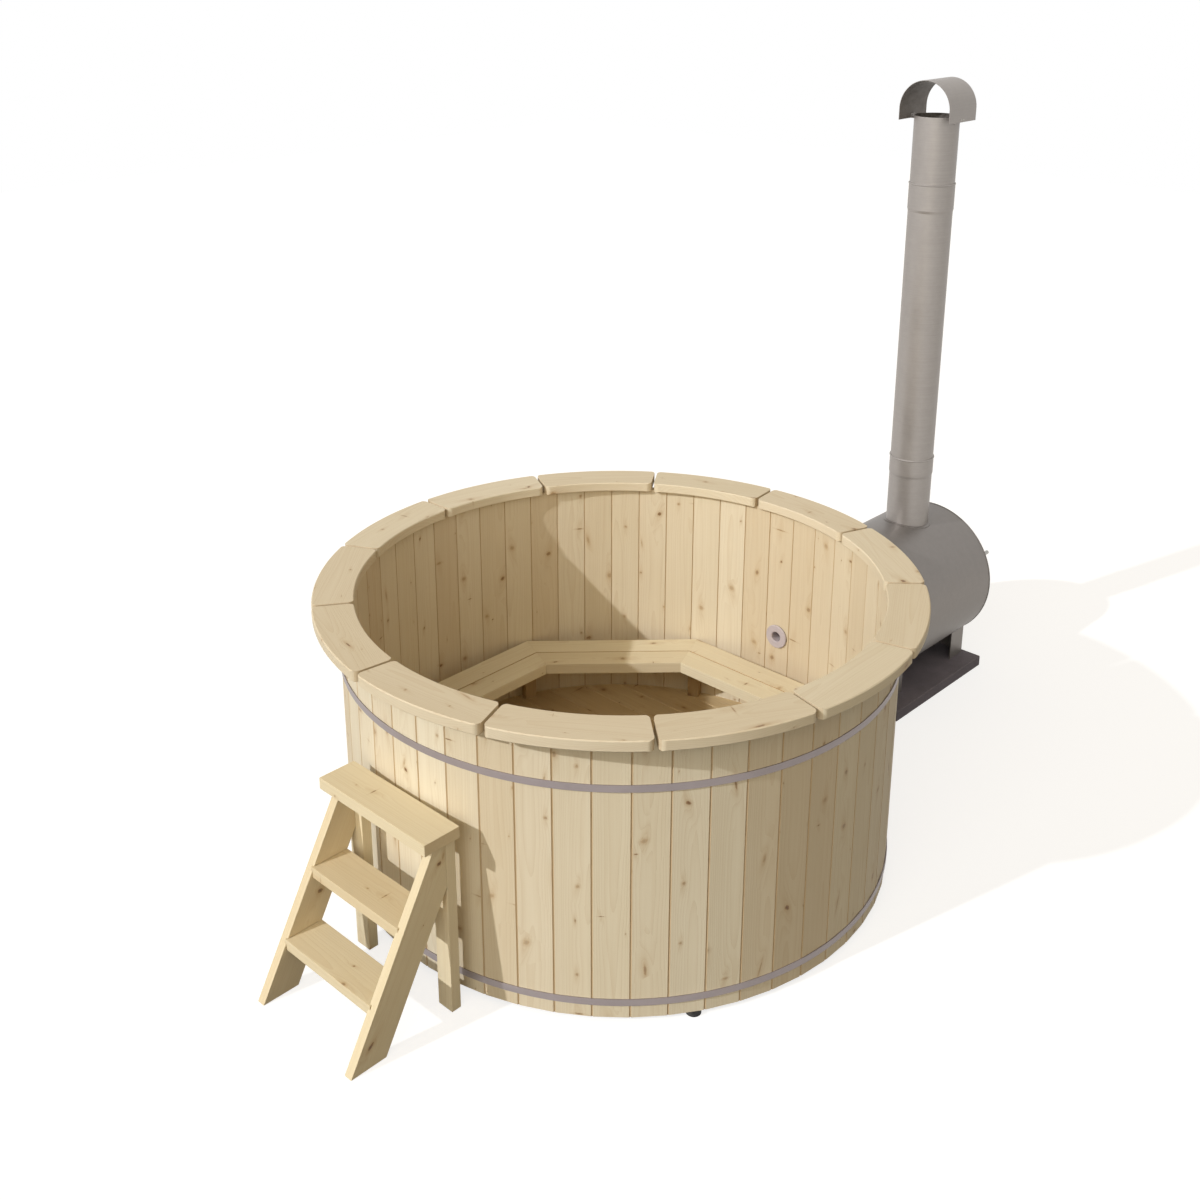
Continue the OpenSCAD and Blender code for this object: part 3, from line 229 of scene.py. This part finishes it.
def wood_finish(name, pale, tan, late, knot_tint):
    """Planed spruce: growth rings round a pith beside the board, fibres, knots and tone."""
    wood = Finish(name, {"Roughness": 0.62, "Specular IOR Level": 0.35})
    board = wood.node("Attribute", {"attribute_name": "board"}, {}, "Vector")
    look = wood.node("Attribute", {"attribute_name": "look"}, {}, "Vector")
    face = wood.node("Attribute", {"attribute_name": "face"}, {}, "Vector")
    tone = wood.node("SeparateXYZ", {}, {0: look}, 0)
    warmth = tone.beside(1)
    end_grain_and_painted_shade = tone.beside(2)
    knot_row, knot_rise = 0.085, 0.175
    smallest_knot, knot_growth, knot_rag = 0.0016, 0.0072, 0.008
    ring_w, ring_drift = 0.0042, 0.030

    # Knots: one in each cell of a grid on the face, with its own size, shape, tilt and depth.
    cells = wood.vector("DIVIDE", face, (knot_row, knot_rise, 1))
    branch = wood.node("TexVoronoi", {"voronoi_dimensions": "2D"},
                       {"Vector": cells, "Scale": 1, "Randomness": 0.95}, "Position")
    chance = wood.node("SeparateColor", {}, {0: branch.beside("Color")}, 0)
    depth = chance.beside(1) * chance.beside(1)
    lean = (chance.beside(1) - 0.5) * 0.5
    stretched = chance.beside(2) * 2 - 1
    squash = chance.math("EXPONENT", stretched * stretched * stretched * -1.2)
    offset = wood.stretch(wood.vector("SUBTRACT", cells, branch), (knot_row, knot_rise, 0))
    aside = wood.node("SeparateXYZ", {}, {0: offset}, 0)
    above = aside.beside(1)
    leaning = aside + above * lean
    wander = wood.noise(wood.stretch(board, (150, 150, 150)), 1.0, 3.0)
    has_knot = chance.fade(0.36, 0.40)
    knot_r = chance.fade(0.40, 1.05) * knot_growth + smallest_knot
    narrow, tall = leaning * squash, above / squash
    away = (narrow * narrow + tall * tall) ** 0.5
    reach = (away + (wander - 0.5) * knot_rag) / knot_r
    halo = reach.fade(2.6, 0.9) * has_knot
    knot = reach.fade(1.15, 0.70) * has_knot
    heart = reach.fade(0.70, 0.12) * has_knot
    flame = (leaning * leaning + above * above / 18) ** 0.5 / knot_r
    flare = flame.fade(2.8, 0.5) * has_knot

    # Growth rings, which swell round the knots, and fine fibres along the grain.
    drift = wood.noise(wood.stretch(board, (5, 5, 1.1)), 1.0, 2.0)
    ring_r = wood.vector("LENGTH", wood.stretch(board, (1, 1, 0)), output="Value")
    swell = knot_r * has_knot * 1.6 / (flame * flame * 0.35 + 1)
    ring = (ring_r + (drift - 0.5) * ring_drift + swell) / ring_w
    late_wood = ring.math("FRACT", ring) ** 3.0
    streaks = wood.noise(wood.stretch(board, (95, 95, 1.6)), 1.0, 3.0, 0.6)
    fibres = wood.noise(wood.stretch(board, (900, 900, 14)), 1.0, 2.0, 0.5)
    clouds = wood.noise(wood.stretch(board, (7, 7, 2.2)), 1.0, 3.0, 0.55)

    body = (tone * 0.42 + clouds * 0.55 + streaks * 0.30 - 0.30).mix(pale, tan)
    body = (warmth * 0.28).mix(body, late)
    body = (late_wood * 0.17 + (fibres - 0.5) * 0.10 + (streaks - 0.45) * 0.24).mix(body, late)
    body = (flare * 0.22 + halo * 0.30).mix(body, late)
    knot_colour = (heart * 0.65 + depth * 0.35).mix(knot_tint, paint(88, 60, 38))
    body = (knot * (depth * 0.55 + 0.36)).mix(body, knot_colour)
    # End grain is darker; the seams and the staves' inner face get painted shade by the same mix.
    body = (end_grain_and_painted_shade * 0.30).mix(body, late)
    wood.feed("Base Color", body)
    wood.feed("Roughness", 0.58 + late_wood * 0.10 + knot * -0.14 + (fibres - 0.5) * 0.12)
    wood.relief(late_wood * 0.35 + fibres * 0.35 + knot * 0.5, 0.0004)
    return wood.material


def islands(form):
    """The separate solids of a form, each as a list of its faces."""
    for face in form.faces:
        face.tag = False
    for first in form.faces:
        if first.tag:
            continue
        first.tag = True
        found = [first]
        for face in found:
            for near in [other for edge in face.edges for other in edge.link_faces]:
                if not near.tag:
                    near.tag = True
                    found.append(near)
        yield found


def as_piece(form, name, body, material):
    """Makes an object of a form. It rides on a body and has a finish."""
    mesh = bpy.data.meshes.new(name)
    form.to_mesh(mesh)
    form.free()
    mesh.materials.append(material)
    piece = bpy.data.objects.new(name, mesh)
    bpy.context.scene.collection.objects.link(piece)
    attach(piece, body)
    return piece


def smooth_over(form, limit=math.radians(32)):
    """Shades the form smoothly, apart from the edges that turn by more than the limit."""
    for face in form.faces:
        face.smooth = True
    for edge in form.edges:
        edge.smooth = edge.calc_face_angle(0) < limit


up = Vector((0, 0, 1))


def outward(middle):
    return Vector((middle.x, middle.y, 0)).normalized()


def up_the_wall(middle):
    return up.cross(outward(middle)), outward(middle), up


def middle_of(faces):
    points = [vert.co for face in faces for vert in face.verts]
    low = Vector([min(point[i] for point in points) for i in range(3)])
    high = Vector([max(point[i] for point in points) for i in range(3)])
    return (low + high) / 2


def plank(node, body, material, grain, ease=0.0, ease_ends=True, painted_seam_shade=0.0, painted_inner_shade=0.0):
    """Stands for a wooden node with a copy that has eased edges and knows its own grain.

    grain takes the middle of a board and gives its directions across, through and along.
    painted_seam_shade darkens the narrow sides with painted shade in the seams, and
    painted_inner_shade darkens the face at the back with painted shade, each as a share of end
    grain's tone.
    """
    same_place, same_plane, corner = 2e-6, math.radians(0.5), math.radians(25)
    form = bmesh.new()
    form.from_mesh(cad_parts[node].data)
    bmesh.ops.remove_doubles(form, verts=form.verts, dist=same_place)
    bmesh.ops.dissolve_limit(form, angle_limit=same_plane, verts=form.verts, edges=form.edges)
    if ease:
        sharp = set()
        for faces in list(islands(form)):
            along = grain(middle_of(faces))[2]
            for edge in {edge for face in faces for edge in face.edges}:
                run = (edge.verts[1].co - edge.verts[0].co).normalized()
                if edge.calc_face_angle(0) > corner and (ease_ends or abs(run.dot(along)) > 0.7):
                    sharp.add(edge)
        bmesh.ops.bevel(form, geom=sorted(sharp, key=lambda edge: edge.index), affect="EDGES",
                        offset=ease, offset_type="OFFSET", segments=2, profile=0.5, material=-1,
                        clamp_overlap=True)
    board_layer = form.loops.layers.float_vector.new("board")
    look_layer = form.loops.layers.float_vector.new("look")
    face_layer = form.loops.layers.float_vector.new("face")
    luck = random.Random(node)
    for faces in islands(form):
        middle = middle_of(faces)
        across, through, along = grain(middle)
        side = luck.choice((-1, 1))
        pith = Vector((luck.uniform(-0.05, 0.05), side * luck.uniform(0.03, 0.11),
                       luck.uniform(0, 30)))
        tone, warmth = luck.random(), luck.random() ** 2
        for face in faces:
            end = 1 if abs(face.normal.dot(along)) > 0.7 else 0
            narrow_side = abs(face.normal.dot(across)) > 0.6
            # The face at the back, inside the tub on the staves, gets painted shade.
            behind = face.normal.dot(through) < -0.7
            # Narrow sides get painted shade in the seams, end faces the darker tone of end grain.
            end_grain_and_shade = painted_seam_shade if narrow_side else painted_inner_shade if behind else end
            for loop in face.loops:
                local = loop.vert.co - middle
                place = pith + Vector((local.dot(across), local.dot(through), local.dot(along)))
                loop[board_layer] = place
                loop[face_layer] = (place.y + 5 if narrow_side else place.x, place.z, 0)
                loop[look_layer] = (tone, warmth, end_grain_and_shade)
    smooth_over(form)
    piece = as_piece(form, "dressed_" + node, body, material)
    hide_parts(node)
    if ease:
        piece.modifiers.new("even_normals", "WEIGHTED_NORMAL").keep_sharp = True
    return piece


spruce = wood_finish("spruce", paint(229, 220, 198), paint(213, 200, 172), paint(184, 156, 116),
                     paint(156, 118, 80))
for stave_node in ("staves", "stove_stave", "drain_stave"):
    # Painted shade darkens the staves' seams and their inner face.
    plank(stave_node, "tub", spruce, up_the_wall, painted_seam_shade=2.4, painted_inner_shade=0.35)


# ---------- Floor ----------
# Tongue and groove boards sit in the croze of the staves. They lie on bearers on the ground,
# and rubber pads carry the ends of the staves.

def along_y(middle):
    return Vector((1, 0, 0)), up, Vector((0, 1, 0))


def along_x(middle):
    return Vector((0, 1, 0)), up, Vector((1, 0, 0))


# A darker, warmer copy of the spruce for the floor boards: painted shade for the deep shade at the bottom
# of the tub.
spruce_inside = wood_finish("spruce_inside", paint(216, 194, 152), paint(198, 172, 126),
                            paint(164, 126, 82), paint(138, 96, 58))
# A still darker copy for the bearers under the floor and under the seat: painted shade there.
spruce_shaded_under = wood_finish("spruce_shaded_under", paint(194, 170, 130), paint(176, 150, 108),
                           paint(144, 112, 72), paint(122, 86, 54))
plank("floor_boards", "tub", spruce_inside, along_y, 0.0008)
plank("floor_bearers", "tub", spruce_shaded_under, along_x, 0.002)


def cad_finish(material, slot, *nodes):
    """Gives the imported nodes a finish. Their meshes stay as they are."""
    for name in nodes:
        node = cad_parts[name]
        node.data.materials.clear()
        node.data.materials.append(material)


def rubber_finish(name, colour, dust):
    rubber = Finish(name, {"Specular IOR Level": 0.4})
    place = rubber.node("TexCoord", {}, {}, "Object")
    bloom = rubber.noise(place, 30, 4, 0.6)
    grit = rubber.noise(place, 900, 2)
    rubber.feed("Base Color", (bloom.fade(0.45, 0.75) * 0.5 + (grit - 0.5) * 0.2).mix(colour, dust))
    rubber.feed("Roughness", 0.62 + bloom * 0.25)
    rubber.relief(grit, 0.0002)
    return rubber.material


black_rubber = rubber_finish("black_rubber", paint(38, 38, 40), paint(84, 82, 78))
cad_finish(black_rubber, "black_rubber", "support_pads")


# ---------- Hoops ----------
# Two flat steel bands are bent round the wall. A zinc plated bolt through the two lugs of each
# band draws it tight.

def steel_finish(name, colour, streak, metallic, roughness, cloud=0.10, soot_and_shade_at=None):
    """Rolled steel: a fine grain stretched by the streak factors, and soft clouds in the sheen.

    soot_and_shade_at takes the finish and the place on it, and gives 1 where the smoke has passed. Under
    the hood this soot is also painted shade.
    """
    steel = Finish(name, {"Metallic": metallic})
    place = steel.node("TexCoord", {}, {}, "Object")
    lines = steel.noise(steel.stretch(place, streak), 1.0, 3, 0.6)
    clouds = steel.noise(place, 5.5, 4, 0.6)
    grime = steel.noise(place, 42, 3, 0.65)
    darker = tuple(channel * 0.72 for channel in colour[:3]) + (1,)
    lighter = tuple(min(1, channel * 1.22) for channel in colour[:3]) + (1,)
    shade = (lines - 0.5) * 0.45 + (clouds - 0.5) * cloud * 6 + (grime - 0.5) * 0.25 + 0.5
    skin = shade.mix(darker, lighter)
    rough = roughness + (lines - 0.5) * 0.16 + (clouds - 0.5) * 0.20
    if soot_and_shade_at:
        # Soot darkens the sheet; under the hood it is painted shade as well.
        soot_and_shade = soot_and_shade_at(steel, place) * (0.78 + (grime - 0.5) * 0.8)
        skin = soot_and_shade.mix(skin, paint(52, 44, 36))
        rough = rough + soot_and_shade * 0.4
        steel.feed("Metallic", metallic - soot_and_shade * metallic)
    steel.feed("Base Color", skin)
    steel.feed("Roughness", rough)
    steel.relief(lines * 0.6 + grime * 0.4, 0.00012)
    return steel.material


hoop_steel = steel_finish("hoop_steel", paint(156, 147, 149), (9, 9, 900), 0.45, 0.42)
zinc_steel = steel_finish("zinc_steel", paint(176, 174, 170), (260, 260, 260), 0.85, 0.35)
cad_finish(hoop_steel, "hoop_steel", "upper_hoop", "lower_hoop")
cad_finish(zinc_steel, "zinc_steel", "hoop_bolts")


# ---------- Rim ----------
# Thirteen thick boards of planed spruce, sawn to a curve with rounded corners, lie on the ends
# of the staves with a gap between each two. Their edges are eased.

def along_the_rim(middle):
    return outward(middle), up, up.cross(outward(middle))


plank("rim_boards", "tub", spruce, along_the_rim, 0.0025)


# ---------- Bench ----------
# An eight-sided seat two boards wide lies on tapered bearers and on blocks on the wall. The
# bearers stand on posts against the wall.

def out_from_the_middle(middle):
    return up.cross(outward(middle)), up, outward(middle)


spruce_seat = wood_finish("spruce_seat", paint(231, 223, 198), paint(219, 206, 175),
                          paint(184, 154, 112), paint(150, 110, 70))
# The outer boards' narrow sides get painted shade in the gap between the two rows.
for row, gap_shade in (("bench_outer_boards", 3.3), ("bench_inner_boards", 0.0)):
    plank(row, "tub", spruce_seat, along_the_rim, 0.003, ease_ends=False,
          painted_seam_shade=gap_shade)
# The bench's bearers, posts and cleats take the darker copy, painted shade under the seat.
plank("bench_bearers", "tub", spruce_shaded_under, out_from_the_middle, 0.002)
plank("bench_posts", "tub", spruce_shaded_under, up_the_wall, 0.002)
plank("bench_cleats", "tub", spruce_shaded_under, out_from_the_middle, 0.002)


# ---------- Water fittings ----------
# Moulded flanges with threaded spigots go through the wall, with a gasket on each side and a
# locknut outside. Rubber hoses with band clamps lead to the stove.

def plastic_finish(name, colour):
    plastic = Finish(name, {})
    place = plastic.node("TexCoord", {}, {}, "Object")
    haze = plastic.noise(place, 60, 3, 0.6)
    pits = plastic.noise(place, 1500, 2)
    darker = tuple(channel * 0.8 for channel in colour[:3]) + (1,)
    plastic.feed("Base Color", (haze * 0.6).mix(colour, darker))
    plastic.feed("Roughness", 0.34 + haze * 0.22)
    plastic.relief(pits, 0.00006)
    return plastic.material


def turned(outline, centre, axis, side, turns=1, pitch=0.0, steps=96):
    """Turns a closed outline of (radius, height) points about an axis, with a rise per turn."""
    form = bmesh.new()
    corners = [form.verts.new(centre + side * radius + axis * height) for radius, height in outline]
    edges = [form.edges.new(pair) for pair in zip(corners, corners[1:] + corners[:1])]
    bmesh.ops.spin(form, geom=corners + edges, cent=centre, axis=axis, dvec=axis * (pitch / steps),
                   angle=math.tau * turns, steps=round(steps * turns), use_merge=pitch == 0)
    if pitch:
        bmesh.ops.holes_fill(form, edges=[edge for edge in form.edges if edge.is_boundary], sides=0)
    bmesh.ops.recalc_face_normals(form, faces=form.faces)
    return form


fitting_plastic = plastic_finish("fitting_plastic", paint(190, 180, 184))
cad_finish(fitting_plastic, "fitting_plastic", "upper_nozzle", "lower_nozzle", "drain_nozzle", "locknuts")
cad_finish(black_rubber, "black_rubber", "gaskets", "upper_hose", "lower_hose")
cad_finish(zinc_steel, "zinc_steel", "hose_clamps")

# The thread of the drain's spigot shows between its locknut and the valve.
thread_pitch, thread_h, thread_sunk, thread_margin = 0.0025, 0.0009, 0.0003, 0.0012
thread_half_w = 0.45 * thread_pitch
drain_low, drain_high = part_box("drain_nozzle")
valve_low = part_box("drain_valve")[0]
nut_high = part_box("locknuts")[1]
spigot_r = 0.025
thread_start = nut_high[1] + thread_margin + thread_pitch / 2
thread_turns = (valve_low[1] - thread_margin - thread_pitch / 2 - thread_start) / thread_pitch
spigot_axis = Vector((0, thread_start, (drain_low[2] + drain_high[2]) / 2))
ridge = turned([(spigot_r - thread_sunk, -thread_half_w), (spigot_r + thread_h, 0),
                (spigot_r - thread_sunk, thread_half_w)],
               spigot_axis, Vector((0, 1, 0)), Vector((0, 0, 1)), thread_turns, thread_pitch, 64)
as_piece(ridge, "drain_thread", "tub", fitting_plastic)


# ---------- Drain valve ----------
# A brass ball valve is screwed on the drain's spigot. A lever of painted steel turns the ball
# by a quarter turn.

valve_brass = steel_finish("valve_brass", paint(190, 168, 118), (300, 300, 300), 0.9, 0.34)
handle_paint = plastic_finish("handle_paint", paint(168, 34, 28))
cad_finish(valve_brass, "valve_brass", "drain_valve")
cad_finish(handle_paint, "handle_paint", "drain_handle")
cad_finish(zinc_steel, "zinc_steel", "drain_ball", "handle_nut")


# ---------- Stove drum ----------
# A rolled steel shell is welded to two ends, with a fire tube through the water space. It
# stands on two legs of bent sheet, and a cast iron grate lies in the tube.

def weld_finish(name, colour):
    """A weld bead: ripples round the drum's axis on scaled steel."""
    weld = Finish(name, {"Metallic": 0.5})
    place = weld.node("TexCoord", {}, {}, "Object")
    apart = weld.node("SeparateXYZ", {}, {0: place}, 1)
    ripples_per_radian = 420
    round_the_drum = apart.math("ARCTAN2", apart, apart.beside(2) - drum_axis_h)
    scale = weld.noise(place, 260, 3, 0.6)
    ripple = apart.math("SINE", round_the_drum * ripples_per_radian + scale * 3) * 0.5 + 0.5
    tinted = tuple(channel * 1.5 for channel in colour[:3]) + (1,)
    weld.feed("Base Color", (ripple * 0.4 + scale * 0.5).mix(colour, tinted))
    weld.feed("Roughness", 0.42 + scale * 0.25)
    weld.relief(ripple, 0.0006)
    return weld.material


shell_low, shell_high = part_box("drum_shell")
tube_low, tube_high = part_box("firebox")
drum_r = (shell_high[2] - shell_low[2]) / 2
tube_r = (tube_high[2] - tube_low[2]) / 2
drum_axis_h = (shell_high[2] + shell_low[2]) / 2
# Soot starts this far below the outer skin of a sheet.
skin_depth = 0.0007


def inside_the_tube(steel, place):
    """1 nearer to the axis of the fire tube than its outer skin."""
    out = steel.vector("SUBTRACT", place, (0, 0, drum_axis_h))
    off_axis = steel.vector("LENGTH", steel.stretch(out, (0, 1, 1)), output="Value")
    return off_axis.fade(tube_r - skin_depth, tube_r - 2 * skin_depth)


stove_steel = steel_finish("stove_steel", paint(140, 135, 131), (420, 5, 5), 0.8, 0.5, 0.06)
tube_steel = steel_finish("tube_steel", paint(120, 114, 110), (420, 5, 5), 0.7, 0.55, 0.06,
                          inside_the_tube)
weld_steel = weld_finish("weld_steel", paint(104, 99, 96))
grate_iron = steel_finish("grate_iron", paint(62, 58, 56), (90, 90, 90), 0.4, 0.7)
cad_finish(stove_steel, "stove_steel", "drum_shell", "drum_tub_end", "drum_door_end", "front_leg",
           "rear_leg")
cad_finish(tube_steel, "stove_steel", "firebox")
cad_finish(grate_iron, "grate_iron", "grate")

# Weld beads join the shell and the fire tube to the two ends.
weld_r, bead_sides = 0.0032, 10
end_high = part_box("drum_door_end")[1]
for weld, x, at_r in (("tub_end_weld", shell_low[0], drum_r - weld_r / 3),
                      ("door_end_weld", shell_high[0], drum_r - weld_r / 3),
                      ("fire_tube_weld", end_high[0], tube_r)):
    bead = [(at_r + weld_r * math.cos(turn), weld_r * math.sin(turn))
            for turn in (math.tau * step / bead_sides for step in range(bead_sides))]
    form = turned(bead, Vector((x, 0, drum_axis_h)), Vector((1, 0, 0)), Vector((0, 0, 1)), steps=180)
    smooth_over(form)
    as_piece(form, weld, "tub", weld_steel)


# ---------- Base slab ----------
# A slab of dark cast concrete with chamfered upper edges lies on the ground. It carries the
# two legs of the drum.

def concrete_finish(name, colour):
    concrete = Finish(name, {"Specular IOR Level": 0.3})
    place = concrete.node("TexCoord", {}, {}, "Object")
    clouds = concrete.noise(place, 7, 5, 0.65)
    sand = concrete.noise(place, 420, 3, 0.7)
    pores = concrete.node("TexVoronoi", {}, {"Vector": place, "Scale": 95}, "Distance").fade(0.22, 0.05)
    darker = tuple(channel * 0.6 for channel in colour[:3]) + (1,)
    lighter = tuple(channel * 1.35 for channel in colour[:3]) + (1,)
    shade = (clouds - 0.5) * 1.3 + (sand - 0.5) * 0.7 + 0.45
    concrete.feed("Base Color", (pores * 0.5).mix(shade.mix(darker, lighter), darker))
    concrete.feed("Roughness", 0.78 + (clouds - 0.5) * 0.2)
    concrete.relief(sand * 0.6 + (1 - pores) * 0.4, 0.0005)
    return concrete.material


slab_concrete = concrete_finish("slab", paint(117, 113, 124))
cad_finish(slab_concrete, "slab", "base_slab")


# ---------- Stove door ----------
# A round plate with two hinge straps, a turning air vent and a drop latch. A rope in front of
# the fire tube seals it.

def rope_finish(name, colour, shadow):
    """A braided glass rope: strands that turn round the ring's own round section."""
    rope = Finish(name, {"Roughness": 0.9, "Specular IOR Level": 0.2})
    place = rope.node("TexCoord", {}, {}, "Object")
    rope_low, rope_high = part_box("door_rope")
    rope_r = (rope_high[0] - rope_low[0]) / 2
    ring_r = (rope_high[2] - rope_low[2]) / 2 - rope_r
    out = rope.vector("SUBTRACT", place, ((rope_low[0] + rope_high[0]) / 2, 0, drum_axis_h))
    apart = rope.node("SeparateXYZ", {}, {0: out}, 0)
    off_axis = rope.vector("LENGTH", rope.stretch(out, (0, 1, 1)), output="Value")
    round_the_ring = rope.math("ARCTAN2", apart.beside(1), apart.beside(2)) * (ring_r / rope_r)
    round_the_rope = rope.math("ARCTAN2", apart, off_axis - ring_r)
    strands = rope.math("SINE", round_the_ring * 2 + round_the_rope * 3)
    braid = strands * rope.math("SINE", round_the_ring * 2 - round_the_rope * 3) * 0.5 + 0.5
    fuzz = rope.noise(place, 700, 3, 0.7)
    rope.feed("Base Color", (braid * 0.7 + (fuzz - 0.5) * 0.5).mix(shadow, colour))
    rope.relief(braid * 0.8 + fuzz * 0.2, 0.0012)
    return rope.material


def inside_the_door(steel, place):
    """1 on the side of the door's plate that faces the fire."""
    plate_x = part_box("door_rope")[1][0]
    along = steel.node("SeparateXYZ", {}, {0: place}, 0)
    return along.fade(plate_x + 2 * skin_depth, plate_x + skin_depth)


rope_fibre = rope_finish("rope", paint(226, 220, 206), paint(150, 140, 124))
door_steel = steel_finish("door_steel", paint(126, 121, 118), (5, 420, 5), 0.8, 0.5, 0.06,
                          inside_the_door)
forged_steel = steel_finish("forged_steel", paint(84, 80, 79), (60, 60, 60), 0.7, 0.5)
cad_finish(door_steel, "stove_steel", "stove_door")
cad_finish(forged_steel, "stove_steel", "hinge_brackets", "latch_keeper")
cad_finish(grate_iron, "grate_iron", "vent_disc")
cad_finish(zinc_steel, "zinc_steel", "hinge_pins", "vent_rivet", "door_latch", "latch_rivet")
cad_finish(rope_fibre, "rope", "door_rope")


# ---------- Chimney ----------
# Three steel pipes stand in each other's beaded sockets. The lowest goes through a collar on
# the drum, and an arched sheet on two riveted straps keeps rain off the mouth.

top_low, top_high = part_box("chimney_top")
hood_low, hood_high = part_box("chimney_hood")
flue_x = (top_low[0] + top_high[0]) / 2
flue_r = (top_high[0] - top_low[0]) / 2
hood_bend_h = hood_high[2] - hood_high[1]
# How dark the soot under the hood is; it also serves as painted shade there.
hood_soot_and_shade = 0.5


def inside_the_flue(steel, place):
    """1 nearer to the middle of the flue than the outer skin of the pipes."""
    out = steel.vector("SUBTRACT", place, (flue_x, 0, 0))
    off_axis = steel.vector("LENGTH", steel.stretch(out, (1, 1, 0)), output="Value")
    return off_axis.fade(flue_r - skin_depth, flue_r - 2 * skin_depth)


def under_the_hood(steel, place):
    """hood_soot_and_shade on the side of the arched sheet that faces the smoke: soot there, and painted
    shade under the hood.
    """
    apart = steel.node("SeparateXYZ", {}, {0: place}, 1)
    above_bend = apart.math("MAXIMUM", apart.beside(2) - hood_bend_h, 0)
    off_axis = (apart * apart + above_bend * above_bend) ** 0.5
    inner = off_axis.fade(hood_high[1] - skin_depth, hood_high[1] - 1.6 * skin_depth)
    return inner * hood_soot_and_shade


pipe_grain, pipe_tone = (6, 6, 260), paint(164, 159, 156)
pipe_steel = steel_finish("pipe_steel", pipe_tone, pipe_grain, 0.6, 0.45, 0.06, inside_the_flue)
hood_steel = steel_finish("hood_steel", pipe_tone, pipe_grain, 0.6, 0.45, 0.06, under_the_hood)
cad_finish(pipe_steel, "pipe_steel", "flue_adapter", "chimney_pipe", "chimney_top", "hood_brackets")
cad_finish(stove_steel, "stove_steel", "flue_collar")
cad_finish(hood_steel, "pipe_steel", "chimney_hood")

# Blind rivets hold the hood to its straps, two on each side.
rivet_r, rivet_spread, rivet_flat = 0.0035, 0.008, 0.45
strap_low, strap_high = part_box("hood_brackets")
strap_x = (strap_low[0] + strap_high[0]) / 2
rivet_h = (hood_low[2] + strap_high[2]) / 2
form = bmesh.new()
for side in (-1, 1):
    for step in (-1, 1):
        head = Vector((strap_x + step * rivet_spread, side * hood_high[1], rivet_h))
        shape = Matrix.Translation(head) @ Matrix.Diagonal((1, rivet_flat, 1, 1))
        bmesh.ops.create_uvsphere(form, u_segments=16, v_segments=10, radius=rivet_r, matrix=shape)
smooth_over(form)
as_piece(form, "hood_rivets", "tub", zinc_steel)


# ---------- Ladder ----------
# Two sloping sides of planed spruce carry treads in housings. With two posts they stand under
# a top board, free of the wall.

stringer_low, stringer_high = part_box("left_stringer")
post_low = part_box("left_post")[0]
stringer_top_w = 0.040
slope = Vector((post_low[0] - stringer_top_w - stringer_low[0], 0, stringer_high[2])).normalized()


def up_the_slope(middle):
    return slope.cross(Vector((0, 1, 0))), Vector((0, 1, 0)), slope


def up_the_post(middle):
    return Vector((0, 1, 0)), Vector((1, 0, 0)), up


spruce_ladder = wood_finish("spruce_ladder", paint(233, 222, 193), paint(219, 204, 168),
                            paint(190, 158, 110), paint(158, 118, 74))
for side in ("left", "right"):
    plank(side + "_stringer", "ladder", spruce_ladder, up_the_slope, 0.002)
    plank(side + "_post", "ladder", spruce_ladder, up_the_post, 0.002)
for tread in ("lower_tread", "upper_tread", "ladder_top"):
    plank(tread, "ladder", spruce_ladder, along_y, 0.0025)
